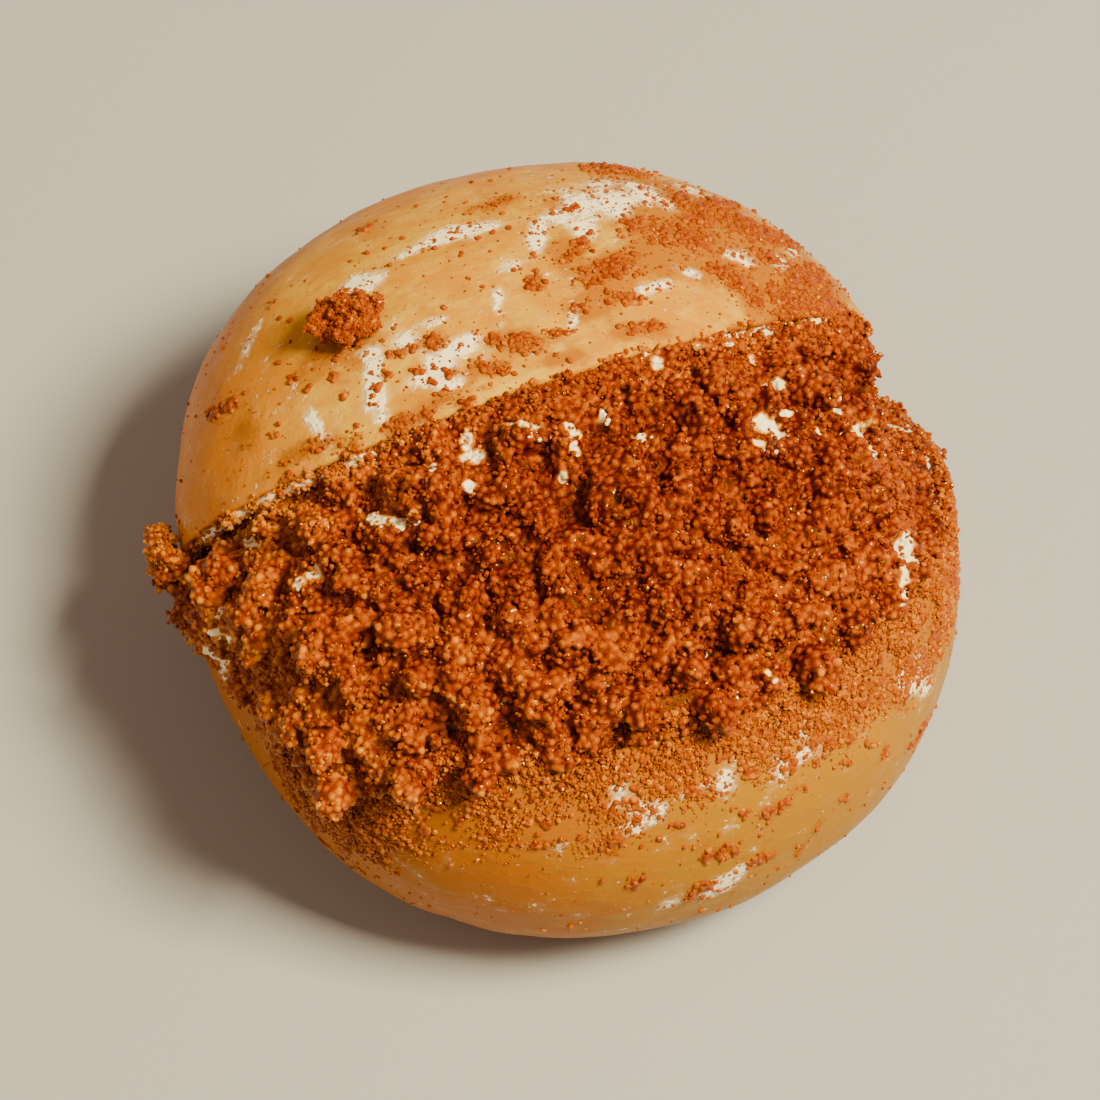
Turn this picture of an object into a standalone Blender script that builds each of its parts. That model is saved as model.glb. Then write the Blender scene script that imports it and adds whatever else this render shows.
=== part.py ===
"""Speculoos maritozzo: a round sweet bun, slit open like a mouth, filled with whipped cream
and coated along the opening with a thick bed of biscuit crumbs.

The origin is the middle of the flat spot that the bun rests on. +Z is up, the bottom of the
slit, its hinge, runs along X, and the mouth opens upwards and towards -Y. Lengths are in
metres and angles in degrees.

A place near the mouth is given by two angles seen from the middle of the hinge. "Along" leans
towards +X, from -90 at one end of the hinge to 90 at the other. "Rise" turns from straight
ahead, -Y, up over the mouth and the top of the bun.
"""
import math

import bmesh
import bpy
import numpy as np
from mathutils import Matrix, Vector

GAP = 0.0003

# The bun, a hand-rolled ball that has spread a little in the oven
HALF_LENGTH = 0.0504
HALF_DEPTH = 0.0511
WIDEST_HEIGHT = 0.024
DOME_HEIGHT = 0.037
UNDERSIDE_DEPTH = 0.029
DOME_FULLNESS = 2.15
UNDERSIDE_FULLNESS = 2.6
# Swells of its outline as (number of lobes, share of the radius, direction of a lobe)
SWELLS = ((2, 0.0317, 96.1), (3, 0.0049, 13.2), (4, 0.0159, 43.9))
BUN_SEGMENTS = 42
BUN_RINGS = 26

# The slit, a wedge whose two cut faces meet inside the bun
HINGE = Vector((0.0, 0.0186, 0.01355))
BASE_RISE = 31.6
LID_RISE = 70.1
CUTTER_REACH = 0.12
CUTTER_HALF_WIDTH = 0.08
REACH_TO_SKIN = 0.055

# The cream, which ends just inside the skin at both ends of the hinge
CREAM_ENDS = (-85.0, 84.0)
CREAM_HALF_LENGTH = 0.0440

# The crumb bed, from its lower edge on the base to the lid
BED_ENDS = (-79.0, 74.0)
BED_COLUMNS = 27
LAP_ROWS = 4
MOUTH_ROWS = 11
BED_THICKNESS = 0.0031
EDGE_THICKNESS = 0.0011
THIN_EDGE = 0.0006
SKIN_GAP = 0.0005
BED_ROUGHNESS = 0.0008
LAP_ROUGHNESS = 0.0002
# Its form: a low crown, a lap over the base's rim that narrows at both ends, a spill down the base
# that starts short of the left end and fades out to the right, and places where it lies deeper than
# the skin. Pairs are the angles where each starts and is full.
BED_CROWN = 0.0013
BED_LAP = 2.0
LEAST_LAP = 0.9
LAP_LEFT_END = (-44.0, -50.0)
SPILL_DROP = 11.0
SPILL_SIDE = (-49.0, -44.5)
SPILL_FADE = 11.0
LAP_SHARE = 0.35
LID_DROP = 0.0027
UNDER_LID = (-12.0, -48.0)
RIGHT_DROP = 0.0046
RIGHT_END = (24.0, 47.0)
LEFT_DROP = 0.0019
LEFT_END = (-46.0, -64.0)
RIM_EASE = 7.0

# Clumps of crumbs on the bed, spread evenly and then the large ones that stand out
CLUMP_COLUMNS = 20
CLUMP_ROWS = 8
CLUMP_STRAY = 0.3
SMALL_CLUMP = 0.0016
LARGE_CLUMP = 0.0036
LARGE_ARE_FEW = 1.4
CLUMP_SQUASH = 0.74
CLUMP_WIDTH = (0.75, 1.0)
CLUMP_SINK = 0.12
CLEARANCE = 1.2
FINE_CLUMP = 0.0035
# Towards both ends the bed is without clumps along the base's rim
RIM_ENDS = (-46.0, 38.0)
RIM_BAND = 8.0
# Each as (along, rise, radius, half thickness, height of its middle over the line of the skin)
NAMED_CLUMPS = (
    (-73.0, 56.0, 0.0026, 0.0021, 0.0005),
    (-72.0, 59.5, 0.0024, 0.0019, 0.0014),
    (-74.0, 65.0, 0.0025, 0.0019, 0.0027),
    (-70.0, 67.0, 0.0026, 0.0020, 0.0028),
    (-66.0, 70.0, 0.0022, 0.0018, 0.0026),
    (-73.0, 76.0, 0.0024, 0.0019, 0.0027),
    (-74.0, 83.0, 0.0020, 0.0016, 0.0024),
    (-68.0, 46.0, 0.0033, 0.0026, -0.0004),
    (-56.0, 57.0, 0.0038, 0.0028, -0.0006),
    (-36.0, 45.0, 0.0044, 0.0033, 0.0010),
    (-38.0, 33.0, 0.0031, 0.0024, 0.0018),
    (-21.0, 60.0, 0.0039, 0.0030, 0.0010),
    (0.0, 53.0, 0.0044, 0.0032, 0.0012),
    (14.0, 60.0, 0.0031, 0.0024, 0.0008),
    (-10.0, 40.0, 0.0033, 0.0025, 0.0010),
    (27.0, 44.0, 0.0030, 0.0022, 0.0004),
    (-8.0, 65.0, 0.0027, 0.0021, 0.0008),
    (31.0, 60.0, 0.0027, 0.0020, 0.0000),
)

# Crumbs that stick to the skin, as (along, rise, spread in degrees, number, size)
SKIN_CRUMBS = (
    (2.1, 87.6, 0.8, 3, 0.0016),
    (-16.4, 82.5, 4.0, 6, 0.0013),
    (-20.5, 85.5, 2.0, 3, 0.0011),
    (-51.4, 97.3, 1.5, 3, 0.0012),
    (0.0, 78.5, 4.0, 5, 0.0012),
    (12.0, 92.0, 10.0, 8, 0.0011),
    (36.0, 98.0, 9.0, 8, 0.0012),
    (26.0, 80.0, 7.0, 5, 0.0011),
    (46.0, 84.0, 5.0, 5, 0.0013),
    (-9.7, 20.5, 1.5, 2, 0.0014),
    (-37.0, 9.0, 5.0, 5, 0.0011),
    (-41.0, 15.0, 3.0, 3, 0.0010),
    (6.0, 22.5, 8.0, 6, 0.0011),
    (24.0, 22.0, 6.0, 5, 0.0011),
    (1.0, 14.0, 1.5, 2, 0.0012),
    (-5.0, 11.0, 3.0, 2, 0.0010),
)
SKIN_CRUMB_SINK = 0.25
SKIN_CRUMB_SQUASH = 0.85
SKIN_CRUMB_SIZES = (0.75, 1.25)

# How far the points of a crumb stray from its ball
LEAST_BULGE = 0.84
MOST_BULGE = 1.10

# The clump the size of a berry that lies on the lid
LUMP_PLACE = (-25.5, 92.8)
LUMP_CORE = (0.0042, 0.0030, 0.0021)
LUMP_PIECES = 11
LUMP_PIECE_SIZES = (0.0011, 0.0018)
REACH_TO_LID = 0.047


def smooth(value, start, end):
    """A soft step from 0 at start to 1 at end."""
    share = np.clip((value - start) / (end - start), 0.0, 1.0)
    return share * share * (3.0 - 2.0 * share)


def skin_radius(direction):
    """Distance from the bun's middle to its skin, for an array of unit directions."""
    x, y, z = np.moveaxis(direction, -1, 0)
    turn = np.arctan2(y, x)
    fullness = np.where(z >= 0, DOME_FULLNESS, UNDERSIDE_FULLNESS)
    height = np.where(z >= 0, DOME_HEIGHT, UNDERSIDE_DEPTH)
    outline = np.hypot(x / HALF_LENGTH, y / HALF_DEPTH)
    radius = (outline ** fullness + np.abs(z / height) ** fullness) ** (-1 / fullness)
    swell = sum(share * np.cos(lobes * (turn - math.radians(first)))
                for lobes, share, first in SWELLS)
    return radius * (1 + (x * x + y * y) * swell)


def hinge_direction(along, rise):
    """Unit vectors from the middle of the hinge."""
    along, rise = np.broadcast_arrays(np.radians(along), np.radians(rise))
    return np.stack((np.sin(along), -np.cos(along) * np.cos(rise), np.cos(along) * np.sin(rise)), axis=-1)


def mouth_apex():
    """The point where planes at GAP from both cut faces meet, over the middle of the hinge."""
    half_opening = math.radians((LID_RISE - BASE_RISE) / 2)
    middle_rise = math.radians((LID_RISE + BASE_RISE) / 2)
    lift = GAP / math.sin(half_opening)
    return np.array(HINGE) + lift * np.array((0.0, -math.cos(middle_rise), math.sin(middle_rise)))


APEX = mouth_apex()
BUN_MIDDLE = np.array((0.0, 0.0, WIDEST_HEIGHT))


def skin_reach(direction):
    """Distance from the apex to the skin along each direction, found by halving."""
    near = np.zeros(direction.shape[:-1])
    far = near + CUTTER_REACH
    for _ in range(40):
        middle = (near + far) / 2
        offset = APEX + direction * middle[..., None] - BUN_MIDDLE
        distance = np.linalg.norm(offset, axis=-1)
        inside = distance < skin_radius(offset / distance[..., None])
        near = np.where(inside, middle, near)
        far = np.where(inside, far, middle)
    return near


def over_skin(along, rise, height):
    """Points at a height over the skin, or under it where the height is negative."""
    direction = hinge_direction(along, rise)
    return APEX + direction * (skin_reach(direction) + height)[..., None]


def bed_edge(along):
    """Rise of the bed's lower edge: it laps over the base's rim, and spills down at the left."""
    beyond_side = np.maximum(along - SPILL_SIDE[1], 0.0)
    spill = SPILL_DROP * smooth(along, *SPILL_SIDE) * np.exp(-beyond_side / SPILL_FADE)
    at_end = np.maximum(smooth(along, *RIGHT_END), smooth(along, *LAP_LEFT_END))
    lap = BED_LAP + (LEAST_LAP - BED_LAP) * at_end
    return BASE_RISE - lap - spill


def edge_thickness(along):
    """Thickness of the bed where it laps over the base: a mere dusting at the right end."""
    return EDGE_THICKNESS + (THIN_EDGE - EDGE_THICKNESS) * smooth(along, *RIGHT_END)


def bed_top(along, rise):
    """Height of the crumb bed over the line of the skin."""
    edge = bed_edge(along)
    share = np.clip((rise - edge) / (LID_RISE - edge), 0.0, 1.0)
    right_end = smooth(along, *RIGHT_END)
    crown = BED_CROWN * np.sin(math.pi * share) * (1 - right_end)
    lid_drop = LID_DROP * smooth(share, 0.5, 1.0) * smooth(along, *UNDER_LID)
    end_drop = RIGHT_DROP * right_end + LEFT_DROP * smooth(along, *LEFT_END)
    end_drop = end_drop * smooth(rise, BASE_RISE, BASE_RISE + RIM_EASE)
    lap_height = (SKIN_GAP + edge_thickness(along)) * (1 - smooth(share, LAP_SHARE, 1.0))
    return lap_height + crown - lid_drop - end_drop


def bed_floor(along, rise):
    """Height of the bed's underside: on the base's skin at the lap, and on the cream in the mouth."""
    in_mouth = smooth(rise, BASE_RISE, BASE_RISE + RIM_EASE)
    thickness = edge_thickness(along) * (1 - in_mouth) + BED_THICKNESS * in_mouth
    floor = bed_top(along, rise) - thickness
    return np.where(rise <= BASE_RISE, SKIN_GAP, floor)


def material(name, colour, roughness):
    """A Principled material with the food's own colour."""
    made = bpy.data.materials.new(name)
    made.use_nodes = True
    shader = made.node_tree.nodes["Principled BSDF"]
    shader.inputs["Base Color"].default_value = (*colour, 1.0)
    shader.inputs["Roughness"].default_value = roughness
    shader.inputs["Metallic"].default_value = 0.0
    return made


def new_object(name, shape, finish=None):
    """An object made from a bmesh, with its normals outwards."""
    bmesh.ops.recalc_face_normals(shape, faces=shape.faces)
    mesh = bpy.data.meshes.new(name)
    shape.to_mesh(mesh)
    shape.free()
    made = bpy.data.objects.new(name, mesh)
    if finish:
        mesh.materials.append(finish)
    bpy.context.scene.collection.objects.link(made)
    return made


def bake_modifier(solid):
    """Turn the solid's modifier into its mesh."""
    graph = bpy.context.evaluated_depsgraph_get()
    shaped = bpy.data.meshes.new_from_object(solid.evaluated_get(graph))
    solid.modifiers.clear()
    plain = solid.data
    solid.data = shaped
    bpy.data.meshes.remove(plain)


def cut_away(solid, cutter):
    """Cut one closed shape out of the solid, and remove the cutter."""
    cutter.hide_render = True
    cutter.display_type = "WIRE"
    cut = solid.modifiers.new("cut", "BOOLEAN")
    cut.operation = "DIFFERENCE"
    cut.object = cutter
    bake_modifier(solid)
    bpy.data.objects.remove(cutter)


def fuse(solid, pieces):
    """Join the pieces to the solid as one closed body, without loose scraps or sealed hollows."""
    heap = bpy.data.collections.new(solid.name + "_pieces")
    bpy.context.scene.collection.children.link(heap)
    for piece in pieces:
        heap.objects.link(piece)
    union = solid.modifiers.new("union", "BOOLEAN")
    union.operation = "UNION"
    union.operand_type = "COLLECTION"
    union.collection = heap
    bake_modifier(solid)
    for piece in pieces:
        bpy.data.objects.remove(piece)
    bpy.data.collections.remove(heap)
    keep_main_body(solid)


def keep_main_body(solid):
    """Drop every shell of the mesh but the largest."""
    shape = bmesh.new()
    shape.from_mesh(solid.data)
    unseen = set(shape.faces)
    shells = []
    while unseen:
        shell = {unseen.pop()}
        front = list(shell)
        while front:
            beside = {other for edge in front.pop().edges for other in edge.link_faces}
            fresh = beside & unseen
            unseen -= fresh
            shell |= fresh
            front.extend(fresh)
        shells.append(shell)
    shells.sort(key=len)
    for shell in shells[:-1]:
        bmesh.ops.delete(shape, geom=list(shell), context="FACES")
    loose = [vert for vert in shape.verts if not vert.link_faces]
    bmesh.ops.delete(shape, geom=loose, context="VERTS")
    shape.to_mesh(solid.data)
    shape.free()


def crumb(middle, radii, outward, chance, fine=False):
    """A lumpy crumb: a ball of few faces with uneven points, its short side facing outward."""
    shape = bmesh.new()
    bmesh.ops.create_icosphere(shape, subdivisions=2 if fine else 1, radius=1.0)
    upright = outward.to_track_quat("Z", "X").to_matrix().to_4x4()
    spin = Matrix.Rotation(chance.uniform(0, math.tau), 4, "Z")
    size = Matrix.Diagonal((*radii, 1.0))
    for vert in shape.verts:
        vert.co *= chance.uniform(LEAST_BULGE, MOST_BULGE)
    bmesh.ops.transform(shape, matrix=Matrix.Translation(middle) @ upright @ spin @ size, verts=shape.verts)
    return new_object("crumb", shape)


def shell_between(name, inner, outer, finish):
    """A closed solid between two grids of points, with walls round their four sides."""
    shape = bmesh.new()
    layers = [[[shape.verts.new(point) for point in column] for column in grid] for grid in (inner, outer)]
    columns, rows = outer.shape[:2]
    below, above = layers
    for layer in layers:
        for i in range(columns - 1):
            for j in range(rows - 1):
                shape.faces.new((layer[i][j], layer[i + 1][j], layer[i + 1][j + 1], layer[i][j + 1]))
    for i in range(columns - 1):
        for j in (0, rows - 1):
            shape.faces.new((below[i][j], below[i + 1][j], above[i + 1][j], above[i][j]))
    for j in range(rows - 1):
        for i in (0, columns - 1):
            shape.faces.new((below[i][j], below[i][j + 1], above[i][j + 1], above[i][j]))
    bmesh.ops.remove_doubles(shape, verts=shape.verts, dist=1e-6)
    return new_object(name, shape, finish)


def smooth_shade(solid, angle):
    """Shade the solid smooth but for edges sharper than the angle."""
    solid.data.shade_smooth()
    solid.data.set_sharp_from_angle(angle=math.radians(angle))


def bun_body(finish):
    """The round bun: a ball drawn to the skin's form, cut flat below and slit by the wedge."""
    shape = bmesh.new()
    bmesh.ops.create_uvsphere(shape, u_segments=BUN_SEGMENTS, v_segments=BUN_RINGS, radius=1.0)
    for vert in shape.verts:
        direction = np.array(vert.co.normalized())
        vert.co = Vector(BUN_MIDDLE + direction * skin_radius(direction))
    everything = shape.verts[:] + shape.edges[:] + shape.faces[:]
    cut = bmesh.ops.bisect_plane(shape, geom=everything, plane_co=(0, 0, 0), plane_no=(0, 0, 1),
                                 clear_inner=True)
    rim = [item for item in cut["geom_cut"] if isinstance(item, bmesh.types.BMEdge)]
    bmesh.ops.contextual_create(shape, geom=rim)
    bun = new_object("bun", shape, finish)
    cut_away(bun, mouth_wedge())
    return bun


def mouth_wedge():
    """The cutter for the slit: a three-sided bar with one edge on the hinge."""
    shape = bmesh.new()
    corners = [HINGE + CUTTER_REACH * Vector(hinge_direction(0.0, rise)) for rise in (BASE_RISE, LID_RISE)]
    section = [shape.verts.new(corner) for corner in (HINGE, *corners)]
    side = shape.faces.new(section)
    bmesh.ops.translate(shape, verts=section, vec=(-CUTTER_HALF_WIDTH, 0, 0))
    drawn = bmesh.ops.extrude_face_region(shape, geom=[side])
    moved = [item for item in drawn["geom"] if isinstance(item, bmesh.types.BMVert)]
    bmesh.ops.translate(shape, verts=moved, vec=(2 * CUTTER_HALF_WIDTH, 0, 0))
    return new_object("mouth_wedge", shape)


def skin_crumbs(chance):
    """The crumbs that stick to the bun's skin in loose groups."""
    pieces = []
    for along, rise, spread, number, size in SKIN_CRUMBS:
        for _ in range(number):
            place = (along + chance.normal(0, spread / 2), rise + chance.normal(0, spread / 2))
            radius = size * chance.uniform(*SKIN_CRUMB_SIZES)
            middle, outward = skin_place(*place, radius * SKIN_CRUMB_SINK)
            pieces.append(crumb(middle, (radius, radius, radius * SKIN_CRUMB_SQUASH), outward, chance))
    return pieces


def skin_place(along, rise, height):
    """A point over the skin and the direction that faces away from the bun there."""
    step = 0.5
    middle = over_skin(np.array(along), np.array(rise), np.array(height))
    across = over_skin(np.array(along + step), np.array(rise), np.array(height)) - middle
    upward = over_skin(np.array(along), np.array(rise + step), np.array(height)) - middle
    outward = Vector(np.cross(across, upward)).normalized()
    if outward.dot(Vector(middle - BUN_MIDDLE)) < 0:
        outward.negate()
    return Vector(middle), outward


def mouth_grid():
    """The angles of the columns and rows that the cream and the crumb bed share in the mouth."""
    along = np.linspace(*BED_ENDS, BED_COLUMNS)[:, None]
    rise = np.linspace(BASE_RISE, LID_RISE, MOUTH_ROWS)[None, :]
    return np.broadcast_arrays(along, rise)


def cream_filling(finish):
    """The whipped cream: it fills the wedge from the hinge up to the underside of the crumbs."""
    along, rise = mouth_grid()
    left, right = (np.full((1, MOUTH_ROWS), end) for end in CREAM_ENDS)
    along = np.concatenate((left, along, right))
    rise = np.concatenate((rise[:1], rise, rise[:1]))
    under_bed = bed_floor(along, rise) - GAP
    under_bed[:, 0] = -GAP
    outer = over_skin(along, rise, under_bed)
    inner = np.array(np.broadcast_to(APEX, outer.shape))
    inner[..., 0] += np.sin(np.radians(along)) * CREAM_HALF_LENGTH
    return shell_between("cream", inner, outer, finish)


def crumb_bed(finish, chance):
    """The bed of crumbs on the cream, with its clumps."""
    along, in_mouth = mouth_grid()
    on_base = [np.linspace(edge, BASE_RISE, LAP_ROWS + 1)[:-1] for edge in bed_edge(along[:, 0])]
    rise = np.concatenate((on_base, in_mouth), axis=1)
    along = np.broadcast_to(along[:, :1], rise.shape)
    rough = chance.uniform(-1, 1, rise.shape) * np.where(rise > BASE_RISE, BED_ROUGHNESS, LAP_ROUGHNESS)
    inner = over_skin(along, rise, bed_floor(along, rise))
    outer = over_skin(along, rise, bed_top(along, rise) + rough)
    bed = shell_between("crumb_layer", inner, outer, finish)
    fuse(bed, bed_clumps(chance))
    return bed


def bed_clumps(chance):
    """Clumps over the whole bed, none of them through the cream, the skin or the lid."""
    pieces = []
    low, high = (math.sin(math.radians(end)) for end in BED_ENDS)
    for i in range(CLUMP_COLUMNS):
        for j in range(CLUMP_ROWS):
            across = (i + 0.5 + chance.uniform(-CLUMP_STRAY, CLUMP_STRAY)) / CLUMP_COLUMNS
            upward = (j + 0.5 + chance.uniform(-CLUMP_STRAY, CLUMP_STRAY)) / CLUMP_ROWS
            along = math.degrees(math.asin(low + (high - low) * across))
            edge = float(bed_edge(along))
            rise = edge + (LID_RISE - edge) * upward
            radius = SMALL_CLUMP + (LARGE_CLUMP - SMALL_CLUMP) * chance.random() ** LARGE_ARE_FEW
            if rise < BASE_RISE + RIM_BAND and not RIM_ENDS[0] < along < RIM_ENDS[1]:
                continue
            size = (radius, radius * chance.uniform(*CLUMP_WIDTH), radius * CLUMP_SQUASH)
            sunk = float(bed_top(along, rise)) - CLUMP_SINK * size[2]
            pieces += fitted_clump(along, rise, size, sunk, chance)
    for along, rise, radius, thick, height in NAMED_CLUMPS:
        pieces += fitted_clump(along, rise, (radius, radius, thick), height, chance)
    return pieces


def highest_floor(along, rise, radius):
    """Height of what a clump lies on: the highest spot under its middle and its four sides."""
    if rise > LID_RISE:
        return SKIN_GAP
    wide = math.degrees(radius / REACH_TO_SKIN)
    tall = wide / math.cos(math.radians(along))
    spots = ((0, 0), (wide, 0), (-wide, 0), (0, tall), (0, -tall))
    return max(float(bed_floor(along + dx, rise + dy)) for dx, dy in spots)


def fitted_clump(along, rise, size, height, chance):
    """One clump with its middle raised until it clears what lies under the bed, if it fits."""
    radius, _, thick = size
    height = max(height, highest_floor(along, rise, radius) + CLEARANCE * thick)
    middle, outward = skin_place(along, rise, height)
    from_lid = math.cos(math.radians(along)) * math.sin(math.radians(LID_RISE - rise))
    room = (middle - Vector(APEX)).length * from_lid
    clears_skin = height - thick * MOST_BULGE > SKIN_GAP
    if room < radius * MOST_BULGE and not clears_skin:
        return []
    return [crumb(middle, size, outward, chance, fine=radius > FINE_CLUMP)]


def lid_lump(finish, chance):
    """The clump of crumbs that lies on the lid, 0.3 mm clear of the skin."""
    along, rise = LUMP_PLACE
    middle, outward = skin_place(along, rise, LUMP_CORE[2] * MOST_BULGE + SKIN_GAP)
    core = crumb(middle, LUMP_CORE, outward, chance, fine=True)
    core.name = "crumb_lump"
    core.data.materials.append(finish)
    pieces = []
    for number in range(LUMP_PIECES):
        turn = math.tau * (number + chance.random()) / LUMP_PIECES
        radius = chance.uniform(*LUMP_PIECE_SIZES)
        reach = chance.uniform(0.5, 1.0)
        place = (along + math.degrees(LUMP_CORE[0] * reach * math.cos(turn) / REACH_TO_LID),
                 rise + math.degrees(LUMP_CORE[1] * reach * math.sin(turn) / REACH_TO_LID))
        height = SKIN_GAP + radius * MOST_BULGE + (1 - reach) * 1.5 * LUMP_CORE[2]
        spot, away = skin_place(*place, height)
        pieces.append(crumb(spot, (radius, radius, radius), away, chance))
    fuse(core, pieces)
    return core


def build():
    """The whole filled bun, from an empty scene."""
    for old in list(bpy.data.objects):
        bpy.data.objects.remove(old)
    crust = material("bun_skin", (0.72, 0.40, 0.13), 0.45)
    whipped = material("whipped_cream", (0.93, 0.87, 0.76), 0.5)
    biscuit = material("biscuit_crumbs", (0.50, 0.17, 0.03), 0.85)
    bun = bun_body(crust)
    fuse(bun, skin_crumbs(np.random.default_rng(7)))
    cream = cream_filling(whipped)
    bed = crumb_bed(biscuit, np.random.default_rng(8))
    lump = lid_lump(biscuit, np.random.default_rng(9))
    smooth_shade(bun, 35)
    smooth_shade(cream, 35)
    smooth_shade(bed, 60)
    smooth_shade(lump, 60)


build()
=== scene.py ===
"""Speculoos maritozzo: the looks of the bun, its cream and its biscuit crumbs.

The script follows the bun as it is made: the sweet bun itself, the whipped cream in its slit,
the bed of crumbs pressed onto the cream, the loose crumbs on the bed and on the skin, and the
clump that has fallen on the lid. The floor, the light and the camera come last.

Lengths are in metres and angles in degrees. A place on the bun is given by two angles seen from
the middle of the hinge, the bottom of the slit, which runs along X. "Along" leans towards +X.
"Rise" turns from straight ahead, -Y, up over the mouth and the lid. The marks on the bun were read
off the photograph, in its pixels, and the script works out where on the bun they are.
"""
import math

import bpy
import numpy as np
from mathutils import Matrix, Vector, noise
from mathutils.bvhtree import BVHTree
from mathutils.kdtree import KDTree


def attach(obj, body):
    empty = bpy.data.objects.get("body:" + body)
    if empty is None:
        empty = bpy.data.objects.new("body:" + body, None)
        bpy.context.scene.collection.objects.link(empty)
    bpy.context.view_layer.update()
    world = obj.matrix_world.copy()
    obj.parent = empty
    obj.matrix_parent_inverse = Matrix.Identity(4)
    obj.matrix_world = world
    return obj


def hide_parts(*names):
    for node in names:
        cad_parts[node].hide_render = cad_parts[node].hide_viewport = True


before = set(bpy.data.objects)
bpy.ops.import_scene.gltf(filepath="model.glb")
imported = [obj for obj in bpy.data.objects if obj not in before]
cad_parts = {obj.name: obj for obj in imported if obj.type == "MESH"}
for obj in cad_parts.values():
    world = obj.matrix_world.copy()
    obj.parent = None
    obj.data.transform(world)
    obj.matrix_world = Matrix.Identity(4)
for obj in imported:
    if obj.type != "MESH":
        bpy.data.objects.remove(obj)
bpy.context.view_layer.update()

# The sweet bun
# A ball of milk dough, rolled by hand and baked just until it is golden, then slit open from one
# side so that its top stands up like a lid. The skin is thin, smooth and a little waxy, smeared
# with cream and dusted with biscuit where hands have held it.

# The ball's half sizes, its widest height, and how full its dome and its underside are
HALF_LENGTH = 0.0504
HALF_DEPTH = 0.0511
WIDEST_HEIGHT = 0.024
DOME_HEIGHT = 0.037
UNDERSIDE_DEPTH = 0.029
DOME_FULLNESS = 2.15
UNDERSIDE_FULLNESS = 2.6
# Swells of its outline as (number of lobes, share of the radius, direction of a lobe)
SWELLS = ((2, 0.0317, 96.1), (3, 0.0049, 13.2), (4, 0.0159, 43.9))
HINGE = np.array((0.0, 0.0186, 0.01355))
HINGE_HALF_LENGTH = 0.0445
BASE_RISE = 31.6
LID_RISE = 70.1
REACH_LIMIT = 0.12
FOOT_ROUNDING = 0.0014

SKIN_COLUMNS = 400
SKIN_RINGS = 200
# Of the columns, those of the mouth, and how many of them round each rim
MOUTH_COLUMNS = 40
RIM_COLUMNS = 6
RIM_ROUNDING = 0.0013
DENT_DEPTH = 0.0009
DENT_SIZE = 0.014


def smooth(value, start, end):
    """A soft step from 0 at start to 1 at end."""
    share = np.clip((value - start) / (end - start), 0.0, 1.0)
    return share * share * (3.0 - 2.0 * share)


def skin_radius(direction):
    """Distance from the ball's middle to its skin, for an array of unit directions."""
    x, y, z = np.moveaxis(direction, -1, 0)
    turn = np.arctan2(y, x)
    fullness = np.where(z >= 0, DOME_FULLNESS, UNDERSIDE_FULLNESS)
    height = np.where(z >= 0, DOME_HEIGHT, UNDERSIDE_DEPTH)
    outline = np.hypot(x / HALF_LENGTH, y / HALF_DEPTH)
    radius = (outline ** fullness + np.abs(z / height) ** fullness) ** (-1 / fullness)
    swell = sum(share * np.cos(lobes * (turn - math.radians(first))) for lobes, share, first in SWELLS)
    return radius * (1 + (x * x + y * y) * swell)


def skin_point(along, rise, height=0.0):
    """Points over the bun's skin, flat where the bun rests, for arrays of angles."""
    along, rise = np.broadcast_arrays(np.radians(along), np.radians(rise))
    across = np.cos(along)
    direction = np.stack((np.sin(along), -across * np.cos(rise), across * np.sin(rise)), axis=-1)
    middle = np.array((0.0, 0.0, WIDEST_HEIGHT))
    near = np.zeros(along.shape)
    far = near + REACH_LIMIT
    for _ in range(30):
        half = (near + far) / 2
        offset = HINGE + direction * half[..., None] - middle
        distance = np.linalg.norm(offset, axis=-1)
        inside = distance < skin_radius(offset / distance[..., None])
        near = np.where(inside, half, near)
        far = np.where(inside, far, half)
    to_floor = HINGE[2] / np.maximum(-direction[..., 2], 1e-4)
    corner = np.clip((near - to_floor) / FOOT_ROUNDING, -30, 30)
    reach = near - FOOT_ROUNDING * np.log1p(np.exp(corner))
    return HINGE + direction * (reach + height)[..., None]


def angles_of(points):
    """Along and rise of an array of points."""
    offset = points - HINGE
    along = np.degrees(np.arctan2(offset[..., 0], np.hypot(offset[..., 1], offset[..., 2])))
    return along, np.degrees(np.arctan2(offset[..., 2], -offset[..., 1])) % 360


def points_of(piece):
    """The piece's vertices as an array."""
    points = np.empty(len(piece.data.vertices) * 3, dtype=np.float32)
    piece.data.vertices.foreach_get("co", points)
    return points.reshape(-1, 3).astype(float)


def move_points(piece, points):
    """Put the piece's vertices where the array says."""
    piece.data.vertices.foreach_set("co", points.astype(np.float32).ravel())
    piece.data.update()


def normals_of(piece):
    """The directions in which a piece's points face."""
    normals = np.empty(len(piece.data.vertices) * 3, dtype=np.float32)
    piece.data.vertices.foreach_get("normal", normals)
    return normals.reshape(-1, 3).astype(float)


def note(piece, name, values):
    """Keep one number for each vertex under a name, for the finish to read."""
    kept = piece.data.attributes.new(name, "FLOAT", "POINT")
    kept.data.foreach_set("value", values.astype(np.float32))


def pick(*pieces):
    """Select these pieces alone and make the first of them the active one."""
    bpy.ops.object.select_all(action="DESELECT")
    for piece in pieces:
        piece.select_set(True)
    bpy.context.view_layer.objects.active = pieces[0]


def finished(piece, kind, **settings):
    """Add a modifier, set it up and apply it."""
    modifier = piece.modifiers.new(kind.lower(), kind)
    for name, value in settings.items():
        setattr(modifier, name, value)
    pick(piece)
    bpy.ops.object.modifier_apply(modifier=modifier.name)


bpy.ops.object.select_all(action="DESELECT")
bpy.ops.mesh.primitive_uv_sphere_add(segments=SKIN_COLUMNS, ring_count=SKIN_RINGS, radius=HALF_DEPTH,
                                     location=HINGE, rotation=(0, math.radians(90), 0))
bun = bpy.context.object
bun.name = "sweet_bun"
bpy.ops.object.transform_apply(location=True, rotation=True, scale=True)

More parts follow.
